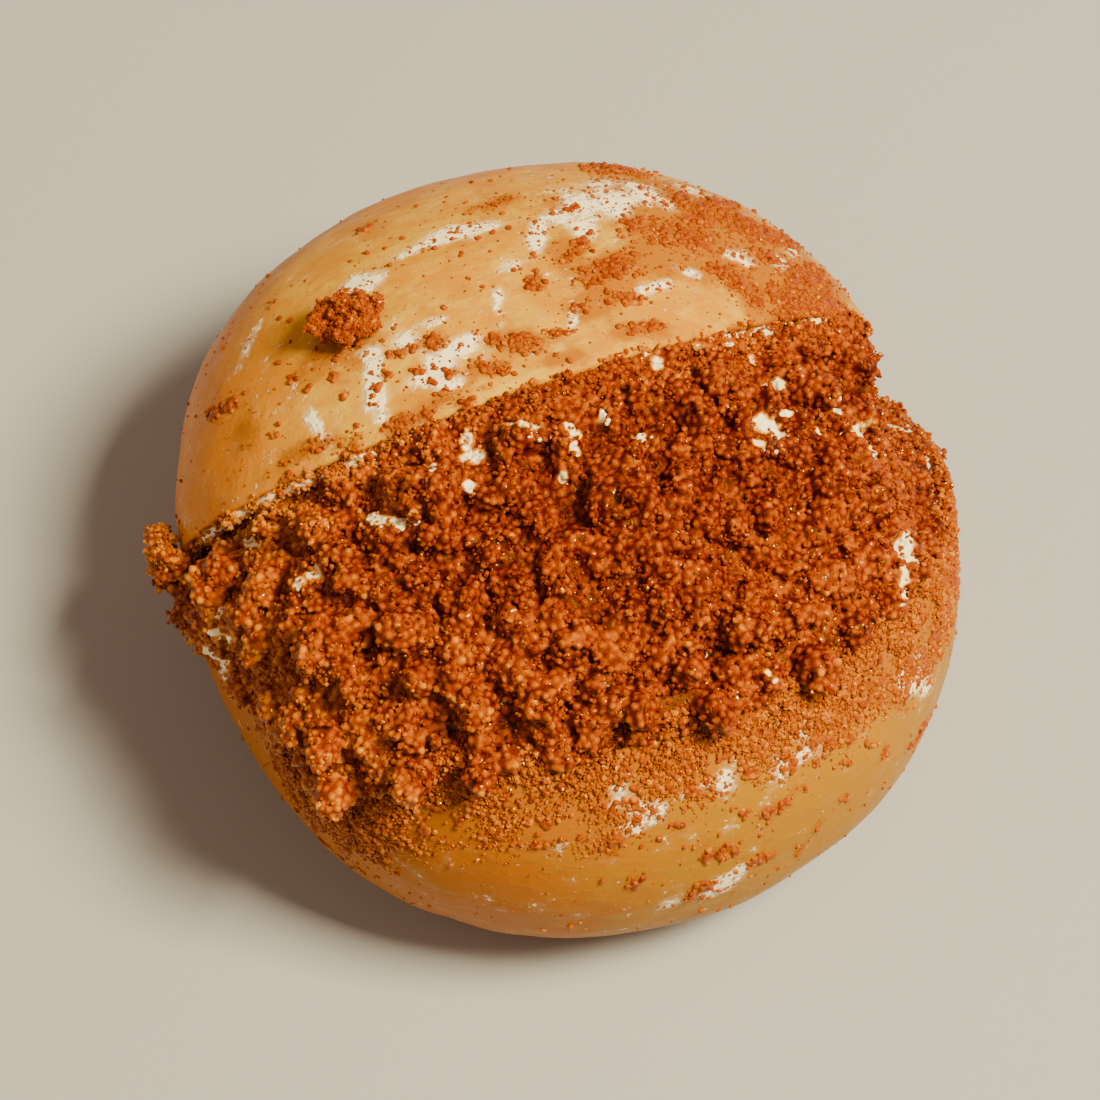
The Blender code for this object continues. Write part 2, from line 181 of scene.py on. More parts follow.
# The ball's first columns go down the base's cut face to the hinge and up the lid's, both with a
# rounded rim, and the rest over the skin
ball_along, ball_rise = angles_of(points_of(bun))
column = np.round(ball_rise * SKIN_COLUMNS / 360).astype(int) % SKIN_COLUMNS
over_lid = column * 2 > MOUTH_COLUMNS
rim_turn = math.degrees(RIM_ROUNDING / HALF_DEPTH)
share_of_skin = (column - MOUTH_COLUMNS) / (SKIN_COLUMNS - MOUTH_COLUMNS)
skin_rise = LID_RISE + rim_turn + share_of_skin * (360 - LID_RISE + BASE_RISE - 2 * rim_turn)
corner = skin_point(ball_along, np.where(over_lid, LID_RISE, BASE_RISE))
rim_start = skin_point(ball_along, np.where(over_lid, LID_RISE + rim_turn, BASE_RISE - rim_turn))
on_hinge = np.tile(HINGE, (len(column), 1))
on_hinge[:, 0] = HINGE_HALF_LENGTH * np.sin(np.radians(ball_along))
face_length = np.linalg.norm(on_hinge - corner, axis=1, keepdims=True)
rim_end = corner + (on_hinge - corner) * np.minimum(RIM_ROUNDING / np.maximum(face_length, 1e-6), 0.5)
from_skin = np.minimum(column, MOUTH_COLUMNS - column)[:, None]
bend = from_skin / RIM_COLUMNS
rim = rim_start * (1 - bend) ** 2 + corner * 2 * bend * (1 - bend) + rim_end * bend ** 2
inward = np.clip((from_skin - RIM_COLUMNS) / (MOUTH_COLUMNS / 2 - RIM_COLUMNS), 0, 1)
face = rim_end + (on_hinge - rim_end) * inward
shape = np.where(from_skin <= RIM_COLUMNS, rim, face)
shape = np.where((column > MOUTH_COLUMNS)[:, None], skin_point(ball_along, skin_rise), shape)
move_points(bun, shape)

# The seam at the hinge is closed and the whole skin is gently dented
bpy.ops.object.mode_set(mode="EDIT")
bpy.ops.mesh.select_all(action="SELECT")
bpy.ops.mesh.remove_doubles(threshold=0.00002)
bpy.ops.mesh.normals_make_consistent(inside=False)
bpy.ops.object.mode_set(mode="OBJECT")
dents = bpy.data.textures.new("dough_dents", "CLOUDS")
dents.noise_scale = DENT_SIZE
dents.noise_depth = 2
finished(bun, "DISPLACE", texture=dents, texture_coords="LOCAL", strength=DENT_DEPTH, mid_level=0.5)
rounded = points_of(bun)
rounded[:, 2] = np.maximum(rounded[:, 2], 0.0)
move_points(bun, rounded)

# The photograph's view of the bun: where it aims, from which side, how high and how far off, the
# size of a pixel at the aim, the middle of the picture in pixels, and how far that is off the aim
AIM = np.array((0.0, 0.0, 0.030))
VIEW_TURN = -20.6
VIEW_HEIGHT = 60.0
CAMERA_DISTANCE = 0.52215
PIXEL = 1 / 7900
PICTURE_MIDDLE = 550
PICTURE_SHIFT = (-0.001889, -0.004073)
turn, height = math.radians(VIEW_TURN), math.radians(VIEW_HEIGHT)
out = np.array((math.sin(turn) * math.cos(height), -math.cos(turn) * math.cos(height), math.sin(height)))
right = np.array((math.cos(turn), math.sin(turn), 0.0))
up = np.cross(out, right)
# How far before and behind the aim the bun is looked for, and in how many steps
SIGHT_REACH = 0.09
SIGHT_STEPS = 6000


def seen_at(x, y, height):
    """The place that shows at a pixel of the photograph, at a height over the ball's skin."""
    ray = right * ((x - PICTURE_MIDDLE) * PIXEL + PICTURE_SHIFT[0])
    ray += up * ((PICTURE_MIDDLE - y) * PIXEL + PICTURE_SHIFT[1]) - out * CAMERA_DISTANCE
    ray /= np.linalg.norm(ray)
    reach = CAMERA_DISTANCE + np.linspace(-SIGHT_REACH, SIGHT_REACH, SIGHT_STEPS)
    places = AIM + out * CAMERA_DISTANCE + ray * reach[:, None]
    offset = places - (0.0, 0.0, WIDEST_HEIGHT)
    distance = np.linalg.norm(offset, axis=1)
    gap = distance - skin_radius(offset / distance[:, None]) - height
    return places[np.argmax(gap <= max(gap.min(), 0.0))]


def axes_at(along, rise, turn=0.0):
    """A place on the skin and two directions across it there, the first turned from along."""
    middle = skin_point(along, rise)
    sideways = skin_point(along + 0.5, rise) - middle
    sideways /= np.linalg.norm(sideways)
    upward = skin_point(along, rise + 0.5) - middle
    upward -= sideways * (upward @ sideways)
    upward /= np.linalg.norm(upward)
    cosine, sine = math.cos(math.radians(turn)), math.sin(math.radians(turn))
    return middle, sideways * cosine + upward * sine, upward * cosine - sideways * sine


def on_skin(marks, height=0.0):
    """Oval marks read off the photograph, as (x, y, half length, half width, tilt) in its
    pixels and degrees, and a strength. Each becomes a mark on the skin, as (along, rise, half
    length, half width, turn from along), to a tenth of a degree or a millimetre, and its strength."""
    placed = []
    for x, y, half_length, half_width, tilt, *strength in marks:
        run, climb = half_length * math.cos(math.radians(tilt)), half_length * math.sin(math.radians(tilt))
        length = seen_at(x + run, y - climb, height) - seen_at(x - run, y + climb, height)
        run, climb = run * half_width / half_length, climb * half_width / half_length
        width = seen_at(x + climb, y + run, height) - seen_at(x - climb, y - run, height)
        along, rise = (round(float(angle), 1) for angle in angles_of(seen_at(x, y, height)))
        _, sideways, upward = axes_at(along, rise)
        turn = (math.degrees(math.atan2(length @ upward, length @ sideways)) + 90) % 180 - 90
        half_sizes = (round(float(np.linalg.norm(size)) / 2, 4) for size in (length, width))
        placed.append((along, rise, *half_sizes, round(turn), *strength))
    return placed


# Smears of cream
SMEARS = on_skin((
    (355, 287, 14, 9, 35, 1.1), (376, 279, 15, 7, 20, 0.65), (455, 234, 22, 6, 12, 1.15),
    (428, 243, 17, 4.5, 18, 0.8), (486, 228, 14, 4, 10, 0.75), (408, 254, 16, 4, 20, 0.5),
    (537, 235, 13, 8, 85, 1.2), (556, 218, 14, 5, 0, 0.8), (580, 202, 17, 12, 10, 1),
    (585, 228, 13, 8, 0, 0.95), (615, 206, 13, 13, 0, 0.95), (641, 195, 16, 9, -5, 0.95),
    (602, 184, 15, 5, 0, 0.75), (666, 205, 8, 7, 0, 0.6), (692, 190, 18, 4, -15, 0.5),
    (572, 323, 9, 5, 80, 0.85), (497, 300, 13, 5, 95, 0.75), (510, 265, 13, 6, 20, 0.65),
    (405, 345, 14, 10, 0, 1), (440, 362, 15, 14, 0, 1.1), (462, 350, 13, 8, 0, 0.85),
    (425, 381, 20, 8, 10, 0.95), (452, 386, 14, 5, 20, 0.85), (432, 324, 16, 4, 10, 0.75),
    (470, 340, 14, 5, 10, 0.65), (372, 375, 20, 9, 85, 1), (376, 401, 12, 8, 85, 0.95),
    (366, 355, 11, 5, 0, 0.85), (381, 420, 9, 5, 20, 0.85), (319, 432, 14, 5, 115, 0.95),
    (309, 419, 10, 4, 110, 0.7), (692, 274, 12, 5, -10, 0.85), (661, 286, 10, 5, 10, 0.75),
    (645, 291, 8, 5, 0, 0.65), (735, 255, 10, 4, 0, 0.75), (747, 263, 8, 4, 0, 0.65),
    (781, 262, 12, 5, -35, 0.75), (792, 250, 10, 4, -35, 0.65), (822, 314, 10, 8, -50, 0.75),
    (246, 350, 14, 4, 60, 0.55), (257, 329, 10, 3, 60, 0.5), (330, 300, 14, 3, 50, 0.4),
    (916, 676, 13, 12, 90, 1.3), (927, 689, 8, 5, 0, 1.1), (782, 771, 10, 8, 80, 1.15),
    (775, 759, 6, 4, 0, 0.9), (806, 755, 12, 4, 20, 1.05), (771, 735, 11, 8, 0, 0.75),
    (791, 722, 14, 8, 0, 0.85), (781, 704, 12, 6, 10, 0.75), (802, 735, 8, 6, 0, 0.7),
    (723, 785, 12, 8, 95, 0.95), (695, 793, 12, 4, 15, 0.85), (620, 792, 9, 8, 0, 0.85),
    (633, 808, 9, 4.5, -10, 1), (655, 812, 9, 8, 0, 0.95), (633, 830, 9, 7, 30, 1.05),
    (612, 805, 5, 3, 0, 0.8), (676, 745, 14, 10, 0, 0.45), (722, 885, 14, 6, 32, 1.2),
    (736, 872, 11, 4, 38, 1), (709, 894, 7, 4, 20, 1.1), (670, 905, 10, 5, 0, 0.75),
    (565, 845, 5, 3, 80, 0.85), (587, 745, 6, 4, 0, 0.85), (506, 743, 4, 3, 0, 0.9),
    (222, 668, 8, 4, -50, 1),
))
# Where biscuit dust clings: along the lid's rim, as marks on the skin, and elsewhere
RIM_DUSTINGS = (
    (49.5, 70.8, 0.0028, 0.0018, 0, 1.15), (44.0, 71.2, 0.0022, 0.0012, 0, 1.0),
    (36.5, 71.0, 0.0024, 0.0010, 0, 1.0), (28.0, 70.7, 0.0018, 0.0008, 0, 0.9),
    (8.0, 70.5, 0.0014, 0.0008, 0, 0.9), (-5.0, 70.6, 0.0020, 0.0007, 0, 0.9),
    (-13.5, 70.8, 0.0014, 0.0009, 0, 0.95), (-19.0, 71.0, 0.0014, 0.0010, 0, 1.0),
    (-23.0, 71.3, 0.0020, 0.0014, 0, 1.1), (-31.0, 70.7, 0.0016, 0.0007, 0, 0.9),
    (-41.0, 70.8, 0.0016, 0.0007, 0, 0.9),
)
DUSTINGS = (*RIM_DUSTINGS, *on_skin((
    (581, 246, 14, 9, 0, 0.95), (566, 259, 10, 5, 0, 0.8), (602, 272, 28, 12, 15, 1.05),
    (622, 262, 20, 8, 20, 0.95), (621, 300, 24, 8, 0, 0.95), (580, 311, 14, 6, 0, 0.85),
    (636, 330, 20, 8, 8, 0.95), (656, 328, 9, 6, 0, 0.75), (521, 346, 26, 12, -5, 1.15),
    (556, 335, 14, 8, 0, 0.95), (500, 370, 14, 8, 0, 0.75), (655, 232, 38, 15, -5, 0.75),
    (700, 241, 24, 10, -10, 0.85), (700, 215, 24, 12, -20, 0.95), (722, 205, 16, 8, -30, 0.95),
    (680, 199, 14, 7, -15, 0.75), (746, 226, 20, 10, -38, 1.05), (776, 237, 15, 8, -42, 0.9),
    (765, 256, 12, 8, 0, 0.85), (721, 270, 18, 7, 0, 0.85), (741, 286, 16, 10, 0, 0.95),
    (755, 301, 12, 9, 90, 0.85), (790, 300, 20, 17, 0, 0.95), (815, 281, 20, 13, -42, 1.05),
    (796, 275, 14, 9, -30, 0.95), (832, 304, 10, 8, -60, 0.8), (610, 169, 24, 4, 0, 0.75),
    (640, 175, 20, 4, -5, 0.7), (500, 205, 18, 8, 0, 0.65), (470, 211, 14, 5, 5, 0.65),
    (512, 198, 14, 4, 0, 0.7), (561, 200, 9, 6, 0, 0.65), (573, 209, 8, 4, 0, 0.75),
    (433, 345, 14, 10, 0, 1.2), (395, 357, 9, 6, 0, 1.05), (411, 350, 8, 6, 0, 0.95),
    (418, 372, 8, 5, 0, 1.05), (386, 377, 8, 6, 0, 0.95), (450, 375, 9, 6, 0, 1.05),
    (431, 383, 6, 5, 0, 0.95), (378, 391, 6, 5, 0, 0.95), (335, 379, 6, 5, 0, 0.95),
    (293, 378, 5, 6, 0, 1.05), (308, 390, 5, 4, 0, 0.85), (345, 395, 6, 5, 0, 0.75),
    (441, 396, 8, 5, 0, 0.85), (475, 365, 9, 8, 0, 0.95), (491, 372, 10, 6, 0, 0.95),
    (215, 414, 9, 9, 0, 1), (231, 405, 8, 8, 0, 0.85), (366, 226, 5, 6, 0, 0.95),
    (320, 446, 18, 6, 25, 0.6), (352, 441, 20, 8, 25, 0.65), (300, 452, 20, 8, 25, 0.55),
    (275, 435, 6, 4, 0, 0.75), (491, 341, 8, 7, 0, 0.9), (533, 284, 13, 13, 0, 1.2),
    (400, 420, 16, 6, 25, 0.6), (440, 405, 16, 5, 20, 0.65), (480, 392, 14, 4, 15, 0.7),
    (580, 365, 20, 4, 12, 0.6), (640, 352, 22, 5, 8, 0.6), (700, 335, 24, 5, 8, 0.55),
    (690, 300, 20, 12, 0, 0.3), (720, 855, 22, 8, 12, 0.95), (757, 861, 20, 5, 15, 0.95),
    (690, 897, 8, 6, 0, 0.95), (706, 885, 14, 5, 20, 0.75), (634, 885, 8, 8, 0, 1.1),
    (610, 846, 12, 12, 0, 1.1), (545, 846, 20, 6, 5, 0.95), (770, 813, 16, 5, 22, 0.95),
    (786, 803, 8, 5, 30, 1.05), (745, 816, 8, 5, 0, 0.75), (750, 775, 8, 8, 0, 0.95),
    (885, 755, 9, 4, 62, 0.95), (705, 797, 10, 4, 10, 0.95), (675, 828, 8, 5, 0, 0.95),
    (815, 764, 6, 5, 0, 0.85), (848, 741, 8, 8, 0, 0.85), (846, 765, 6, 5, 0, 0.75),
    (801, 790, 14, 5, 10, 0.65), (870, 746, 6, 5, 0, 0.75), (920, 736, 7, 5, 70, 0.85),
    (845, 800, 5, 5, 0, 0.75), (820, 826, 12, 6, 20, 0.7), (801, 850, 8, 5, 20, 0.6),
    (656, 843, 6, 4, 0, 0.85), (500, 843, 8, 5, 0, 0.7), (760, 835, 14, 5, 20, 0.5),
    (470, 800, 16, 12, 0, 0.6),
)))
# Where butter and biscuit have stained the skin amber
# Behind the clump, where its shadow falls, the amber mark is a stain and painted shadow colour too
STAIN_AND_SHADOW_BEHIND_CLUMP = (-27.0, 90.0, 0.0050, 0.0042, 0, 0.75)
STAINS = (STAIN_AND_SHADOW_BEHIND_CLUMP, *on_skin((
    (655, 222, 55, 22, -5, 0.55), (720, 228, 50, 28, -25, 0.7), (775, 250, 34, 26, -40, 0.75),
    (815, 292, 30, 24, -45, 0.8), (690, 262, 36, 14, 0, 0.45), (620, 272, 40, 22, 10, 0.55),
    (600, 300, 26, 14, 0, 0.45), (640, 332, 40, 14, 8, 0.45), (760, 305, 22, 22, 0, 0.5),
    (735, 345, 30, 7, 8, 0.5), (800, 325, 30, 12, 8, 0.6), (560, 250, 26, 20, 0, 0.4),
    (580, 310, 22, 14, 0, 0.4), (520, 345, 34, 16, 0, 0.5), (480, 372, 26, 10, 10, 0.5),
    (560, 362, 30, 7, 12, 0.5), (640, 188, 50, 9, -8, 0.5), (690, 200, 34, 14, -20, 0.6),
    (850, 330, 12, 24, -60, 0.8), (400, 425, 26, 9, 25, 0.5), (310, 450, 40, 12, 25, 0.45),
    (500, 205, 34, 10, 5, 0.3), (445, 400, 30, 8, 20, 0.4), (560, 205, 30, 10, 0, 0.3),
    (240, 420, 22, 26, 50, 0.35), (470, 240, 30, 14, 20, 0.2), (300, 380, 26, 16, 30, 0.2),
    (700, 700, 30, 16, 15, 0.6), (760, 690, 30, 16, 15, 0.7), (830, 670, 30, 18, 25, 0.8),
    (880, 640, 16, 26, 60, 0.9), (900, 610, 12, 20, 60, 0.9), (640, 730, 30, 12, 5, 0.4),
    (700, 850, 34, 10, 12, 0.35), (770, 815, 22, 8, 22, 0.4), (600, 760, 40, 14, 5, 0.5),
    (520, 790, 34, 16, 5, 0.4), (830, 735, 26, 12, 30, 0.4), (900, 700, 12, 22, 65, 0.5),
    (430, 800, 30, 14, 0, 0.5),
)))
# Lower edges of the crumbs and of the dust on the base, each as (along, rise) points
CRUMB_EDGE = ((-70, 30), (-59, 34), (-47, 36), (-45, 30), (-44, 20), (-38, 23), (-32, 26), (-28, 29),
              (-23, 32), (-4, 31), (8, 29.5), (18, 29), (27, 28.5), (37, 29), (75, 32))
DUST_EDGE = ((-70, 27), (-59, 31), (-50, 23), (-48, 8), (-42, 1), (-36, 4), (-28, 16), (-24, 18),
             (-10, 16.5), (-6, 18), (-1, 19.5), (9, 19), (19, 18), (22, 18), (31, 15), (38, 16), (75, 22))
DUST_UNDER_CRUMBS = 0.6
STAIN_UNDER_CRUMBS = 0.5


def strokes(points, marks):
    """Strength at each point of a list of soft oval marks on the skin."""
    total = np.zeros(len(points))
    for along, rise, half_length, half_width, turn, strength in marks:
        middle, lengthways, crossways = axes_at(along, rise, turn)
        offset = points - middle
        spread = (offset @ lengthways / half_length) ** 2 + (offset @ crossways / half_width) ** 2
        # It ends soon under the skin, so that it doesn't come out on the slit's faces
        depth = np.linalg.norm(offset, axis=1) / (3 * half_length + 0.002)
        total += strength * np.exp(-spread - depth ** 4)
    return total


def base_dust(along, rise):
    """How thickly dust lies on the base: full at the crumbs' edge, none below the dust's edge."""
    dense = np.interp(along, *zip(*CRUMB_EDGE))
    bare = np.interp(along, *zip(*DUST_EDGE))
    beyond_end = smooth(np.abs(along), 78, 66)
    return smooth(rise, bare, dense) * (rise < LID_RISE) * beyond_end


skin_places = points_of(bun)
skin_along, skin_rise = angles_of(skin_places)
smeared = strokes(skin_places, SMEARS)
under_crumbs = base_dust(skin_along, skin_rise)
dusted = strokes(skin_places, DUSTINGS) + DUST_UNDER_CRUMBS * under_crumbs
on_lid = smooth(skin_rise, 50, 52) * smooth(skin_rise, 250, 200)
note(bun, "smear", smeared)
note(bun, "dust", dusted)
note(bun, "stain", strokes(skin_places, STAINS) + STAIN_UNDER_CRUMBS * under_crumbs)
note(bun, "lid", on_lid)
# It is baked deepest on the left, low down and behind
baked = 0.9 * smooth(skin_along, 12, -25) * (1 - on_lid) + smooth(skin_along, -25, -55) * on_lid
baked += 0.5 * smooth(skin_places[:, 2], 0.020, 0.004) * (1 - on_lid)
baked = np.minimum(baked + smooth(skin_rise, 102, 145) * on_lid, 1.25)
note(bun, "baked", baked)


def feed(node, feeds):
    """Set a node's sockets to values or join them to wires."""
    for name, value in feeds.items():
        if isinstance(value, Wire):
            value.tree.links.new(value.socket, node.inputs[name])
        else:
            node.inputs[name].default_value = value


def coat(piece, finish):
    """Give the piece one finish alone, on a smooth surface."""
    piece.data.shade_smooth()
    piece.data.materials.clear()
    piece.data.materials.append(finish)


class Wire:
    """A value in a material's node tree. Sums of wires and numbers add their Math nodes."""

    def __init__(self, tree, socket=None):
        self.tree = tree
        self.socket = socket

    def node(self, kind, settings, feeds, output=0):
        """A new node, its settings first and then its sockets, as a wire from one output."""
        made = self.tree.nodes.new(kind)
        for name, value in settings.items():
            if name == "stops":
                ramp = made.color_ramp
                while len(ramp.elements) < len(value):
                    ramp.elements.new(1.0)
                for stop, (place, colour) in zip(ramp.elements, value):
                    stop.position = place
                    stop.color = (*colour, 1.0)
            else:
                setattr(made, name, value)
        feed(made, feeds)
        return Wire(self.tree, made.outputs[output])

    def math(self, operation, first, second, clamp=False):
        settings = {"operation": operation, "use_clamp": clamp}
        return self.node("ShaderNodeMath", settings, {0: first, 1: second})

    def __add__(self, other):
        return self.math("ADD", self, other)

    __radd__ = __add__

    def __sub__(self, other):
        return self.math("SUBTRACT", self, other)

    def __rsub__(self, other):
        return self.math("SUBTRACT", other, self)

    def __mul__(self, other):
        return self.math("MULTIPLY", self, other)

    __rmul__ = __mul__

    def step(self, start, end):
        """A soft step of this value from 0 at start to 1 at end."""
        feeds = {"Value": self, "From Min": start, "From Max": end}
        return self.node("ShaderNodeMapRange", {"interpolation_type": "SMOOTHSTEP"}, feeds)

    def mixed(self, under, over):
        """The colour under, covered by the colour over where this value is 1."""
        return self.node("ShaderNodeMix", {"data_type": "RGBA"}, {0: self, 6: under, 7: over}, output=2)

    def noise(self, size, detail=2.0, stretch=(1.0, 1.0, 1.0)):
        """Cloudy noise with features of about this size, seen from the piece's own place."""
        place = self.node("ShaderNodeTexCoord", {}, {}, "Object")
        place = self.node("ShaderNodeMapping", {}, {"Vector": place, "Scale": stretch})
        feeds = {"Vector": place, "Scale": 1 / size, "Detail": detail, "Roughness": 0.6}
        return self.node("ShaderNodeTexNoise", {}, feeds)

    def kept(self, name):
        """A number that was noted for each vertex."""
        return self.node("ShaderNodeAttribute", {"attribute_name": name}, {}, "Fac")


def new_finish(name):
    """A new material, its Principled shader and a wire to build its nodes from."""
    made = bpy.data.materials.new(name)
    made.use_nodes = True
    shader = made.node_tree.nodes["Principled BSDF"]
    return made, shader, Wire(made.node_tree)


def bumped(heights, strength, distance):
    """A Bump node's output from a height."""
    feeds = {"Height": heights, "Strength": strength, "Distance": distance}
    return heights.node("ShaderNodeBump", {}, feeds)


LID_PALE = (0.64, 0.42, 0.045, 1)
LID_DEEP = (0.52, 0.230, 0.001, 1)
LID_AMBER = (0.62, 0.195, 0.001, 1)
BASE_GOLD = (0.37, 0.172, 0.001, 1)
BASE_DEEP = (0.39, 0.120, 0.001, 1)
STAIN_AMBER = (0.36, 0.120, 0.001, 1)
DUST_PALE = (0.36, 0.110, 0.001, 1)
DUST_DEEP = (0.28, 0.058, 0.001, 1)
CREAM_WHITE = (1.0, 0.95, 0.82, 1)
SOAKED_GOLD = (0.60, 0.24, 0.004, 1)
WARM_SHEEN = (1.0, 0.66, 0.12, 1)
BISCUIT_SHEEN = (1.0, 0.56, 0.08, 1)

bun_finish, shader, wire = new_finish("baked_skin")
mottle = wire.noise(0.007, 5.0)
# Streaks of a thin cream film; their paler colour on the skin is also painted sheen
cream_film_and_sheen = wire.noise(0.0024, 6.0, (0.45, 1.0, 1.0)).step(0.44, 0.66)
lid_skin = (mottle.step(0.36, 0.64) * 0.55 + (1 - cream_film_and_sheen) * 0.45).mixed(LID_PALE, LID_DEEP)
freckles = wire.noise(0.0013, 5.0, (0.6, 1.0, 1.0)).step(0.52, 0.72)
lid_skin = (freckles * 0.6).mixed(lid_skin, LID_AMBER)
lid_skin = (wire.kept("baked") * 0.8).mixed(lid_skin, LID_AMBER)
base_depth = (wire.kept("baked") + (mottle - 0.5) * 1.2 - cream_film_and_sheen * 0.25).step(0.1, 0.9)
base_skin = base_depth.mixed(BASE_GOLD, BASE_DEEP)
skin = wire.kept("lid").mixed(base_skin, lid_skin)
stain_break = (wire.noise(0.0050, 5.0) - 0.5) * 1.7 + (wire.noise(0.0014, 4.0) - 0.5) * 0.9
stain = (wire.kept("stain") * 2.3 + stain_break).step(0.15, 0.95)
skin = (stain * 0.9).mixed(skin, STAIN_AMBER)
specks = wire.noise(0.0009, 1.0).step(0.66, 0.72)
skin = (specks * 0.6).mixed(skin, DUST_PALE)
coarse_break = (wire.noise(0.0032, 3.0) - 0.5) * 1.5
fine_break = (wire.noise(0.0009, 3.0) - 0.5) * 1.5
veil = (wire.kept("smear") * 1.3 + coarse_break * 0.7).step(0.05, 0.7)
skin = (veil * 0.4).mixed(skin, CREAM_WHITE)
smear_cover = (wire.kept("smear") * 1.1 + coarse_break * 0.8 + fine_break * 1.3).step(0.30, 0.70)
skin = (smear_cover * 0.95).mixed(skin, CREAM_WHITE)
other_break = (wire.noise(0.0024, 4.0, (1.0, 1.3, 1.0)) - 0.5) * 1.6
dust_cover = (wire.kept("dust") + other_break + fine_break * 0.5).step(0.25, 0.80)
dust_tone = (wire.kept("dust") * 0.25 + wire.noise(0.0011, 4.0)).step(0.55, 0.85)
skin = (dust_cover * 0.85).mixed(skin, (dust_tone * dust_cover).mixed(DUST_PALE, DUST_DEEP))
relief = wire.noise(0.0035, 4.0) * 0.5 + cream_film_and_sheen * 0.25 + wire.noise(0.0007, 3.0, (0.5, 1.0, 1.0)) * 0.35
feed(shader, {
    "Base Color": skin,
    "Roughness": 0.42 + 0.3 * dust_cover - 0.1 * cream_film_and_sheen,
    "Normal": bumped(relief + dust_cover * dust_tone + smear_cover, 0.45, 0.0004),
    "Specular IOR Level": 0.10,
    "Specular Tint": WARM_SHEEN,
})
coat(bun, bun_finish)
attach(bun, "root")
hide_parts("bun")

# The whipped cream
# Stiff cream spooned into the slit and levelled with a palette knife. It shows at both ends of the
# mouth and as a soft bead along the lid's rim.

CREAM_VOXEL = 0.0005
# How far the cream lies below its crumbs, between the mouth's ends
CREAM_SUNK = 0.0010
# How far its feather edges are fattened
CREAM_FATTENED = 0.0003
FOLD_SIZE = 0.006
FOLD_HEIGHT = 0.0004
CREAM_SHADE = (0.95, 0.78, 0.50, 1)
BEAD_ENDS = (-72.0, 62.0)
BEAD_POINTS = 160
BEAD_RADIUS = 0.0007

cream_finish, shader, wire = new_finish("whipped_cream")
folds = wire.noise(0.004, 3.0)
feed(shader, {
    "Base Color": folds.step(0.3, 0.7).mixed(CREAM_WHITE, CREAM_SHADE),
    "Normal": bumped(folds, 0.4, 0.0006),
    "Roughness": 0.4,
    "Specular IOR Level": 0.35,
    "Subsurface Weight": 0.3,
    "Subsurface Radius": (0.003, 0.002, 0.001),
    "Subsurface Scale": 1.0,
})


def copy_of(node, name):
    """A copy of a node's mesh as one closed skin, for a piece that stands for the node."""
    made = bpy.data.objects.new(name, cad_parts[node].data.copy())
    bpy.context.scene.collection.objects.link(made)
    made.data.materials.clear()
    pick(made)
    bpy.ops.object.mode_set(mode="EDIT")
    bpy.ops.mesh.select_all(action="SELECT")
    bpy.ops.mesh.remove_doubles(threshold=0.00001)
    bpy.ops.object.mode_set(mode="OBJECT")
    return made


cream = copy_of("cream", "whipped_cream")
finished(cream, "SUBSURF", subdivision_type="SIMPLE", levels=3, render_levels=3)
finished(cream, "DISPLACE", strength=CREAM_FATTENED, mid_level=0.0)
finished(cream, "REMESH", mode="VOXEL", voxel_size=CREAM_VOXEL)
finished(cream, "SMOOTH", factor=0.5, iterations=2)
folds = bpy.data.textures.new("cream_folds", "CLOUDS")
folds.noise_scale = FOLD_SIZE
finished(cream, "DISPLACE", texture=folds, texture_coords="LOCAL", strength=FOLD_HEIGHT, mid_level=0.6)
cream_points = points_of(cream)
sunk = CREAM_SUNK * smooth(np.abs(angles_of(cream_points)[0]), 62, 54)
move_points(cream, cream_points - normals_of(cream) * sunk[:, None])
coat(cream, cream_finish)
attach(cream, "root")
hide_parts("cream")

# The bead along the lid's rim, as a tube whose thickness wanders
chance = np.random.default_rng(21)
bead_along = np.linspace(*BEAD_ENDS, BEAD_POINTS)
wander = np.interp(bead_along, np.linspace(*BEAD_ENDS, 60), chance.uniform(0.45, 1.3, 60))
bead_line = skin_point(bead_along, LID_RISE - 1.0, -0.0020 + 0.0005 * wander)
curve = bpy.data.curves.new("cream_bead", "CURVE")
curve.dimensions = "3D"
curve.bevel_depth = BEAD_RADIUS
curve.bevel_resolution = 3
curve.use_fill_caps = True
line = curve.splines.new("POLY")
line.points.add(BEAD_POINTS - 1)
for point, place, width in zip(line.points, bead_line, wander):
    point.co = (*place, 1.0)
    point.radius = width
bead = bpy.data.objects.new("cream_bead", curve)
bpy.context.scene.collection.objects.link(bead)
pick(bead)
bpy.ops.object.convert(target="MESH")
bead = bpy.context.object
coat(bead, cream_finish)
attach(bead, "root")

# The crumb bed
# Spiced biscuit, crushed and pressed into the cream. Its mass of stuck grains, drawn into clumps
# with crevices between them, shows between the loose crumbs, with cream where it lies bare.

BED_VOXEL = 0.00042
# Lumps that fill the bed up under the lid's right corner, as (along, rise, radius)
CORNER_LUMPS = (
    (35.5, 67.2, 0.0013), (37.5, 67.2, 0.0014), (39.5, 67.0, 0.0015), (41.5, 67.0, 0.0015),
    (37.0, 64.6, 0.0013), (39.0, 64.4, 0.0014), (41.0, 64.6, 0.0014),
    (43.5, 67.0, 0.0014), (46.5, 67.6, 0.0015), (49.5, 68.0, 0.0014), (52.5, 67.6, 0.0012),
    (45.0, 64.2, 0.0015), (48.0, 65.0, 0.0015), (51.0, 65.4, 0.0012), (46.5, 61.6, 0.0014),
    (49.0, 62.4, 0.0012), (47.5, 59.0, 0.0012), (42.5, 64.0, 0.0013), (53.2, 66.5, 0.0012),
    (52.3, 64.0, 0.0013), (51.0, 61.5, 0.0013), (50.0, 58.5, 0.0013), (49.0, 56.0, 0.0012),
)
BED_CLUMPS = 620
BED_CLUMP_RADII = (0.0009, 0.0026)
CREVICE_DEPTH = 0.0019
RIGHT_END_INSET = 0.0020
# Grains tried and the least distance between two of them, their radii, and how finely they fuse
GRAINS_TRIED = 45000
GRAINS_APART = 0.00082
GRAIN_RADII = (0.00034, 0.00050)
GRAIN_VOXEL = 0.00025
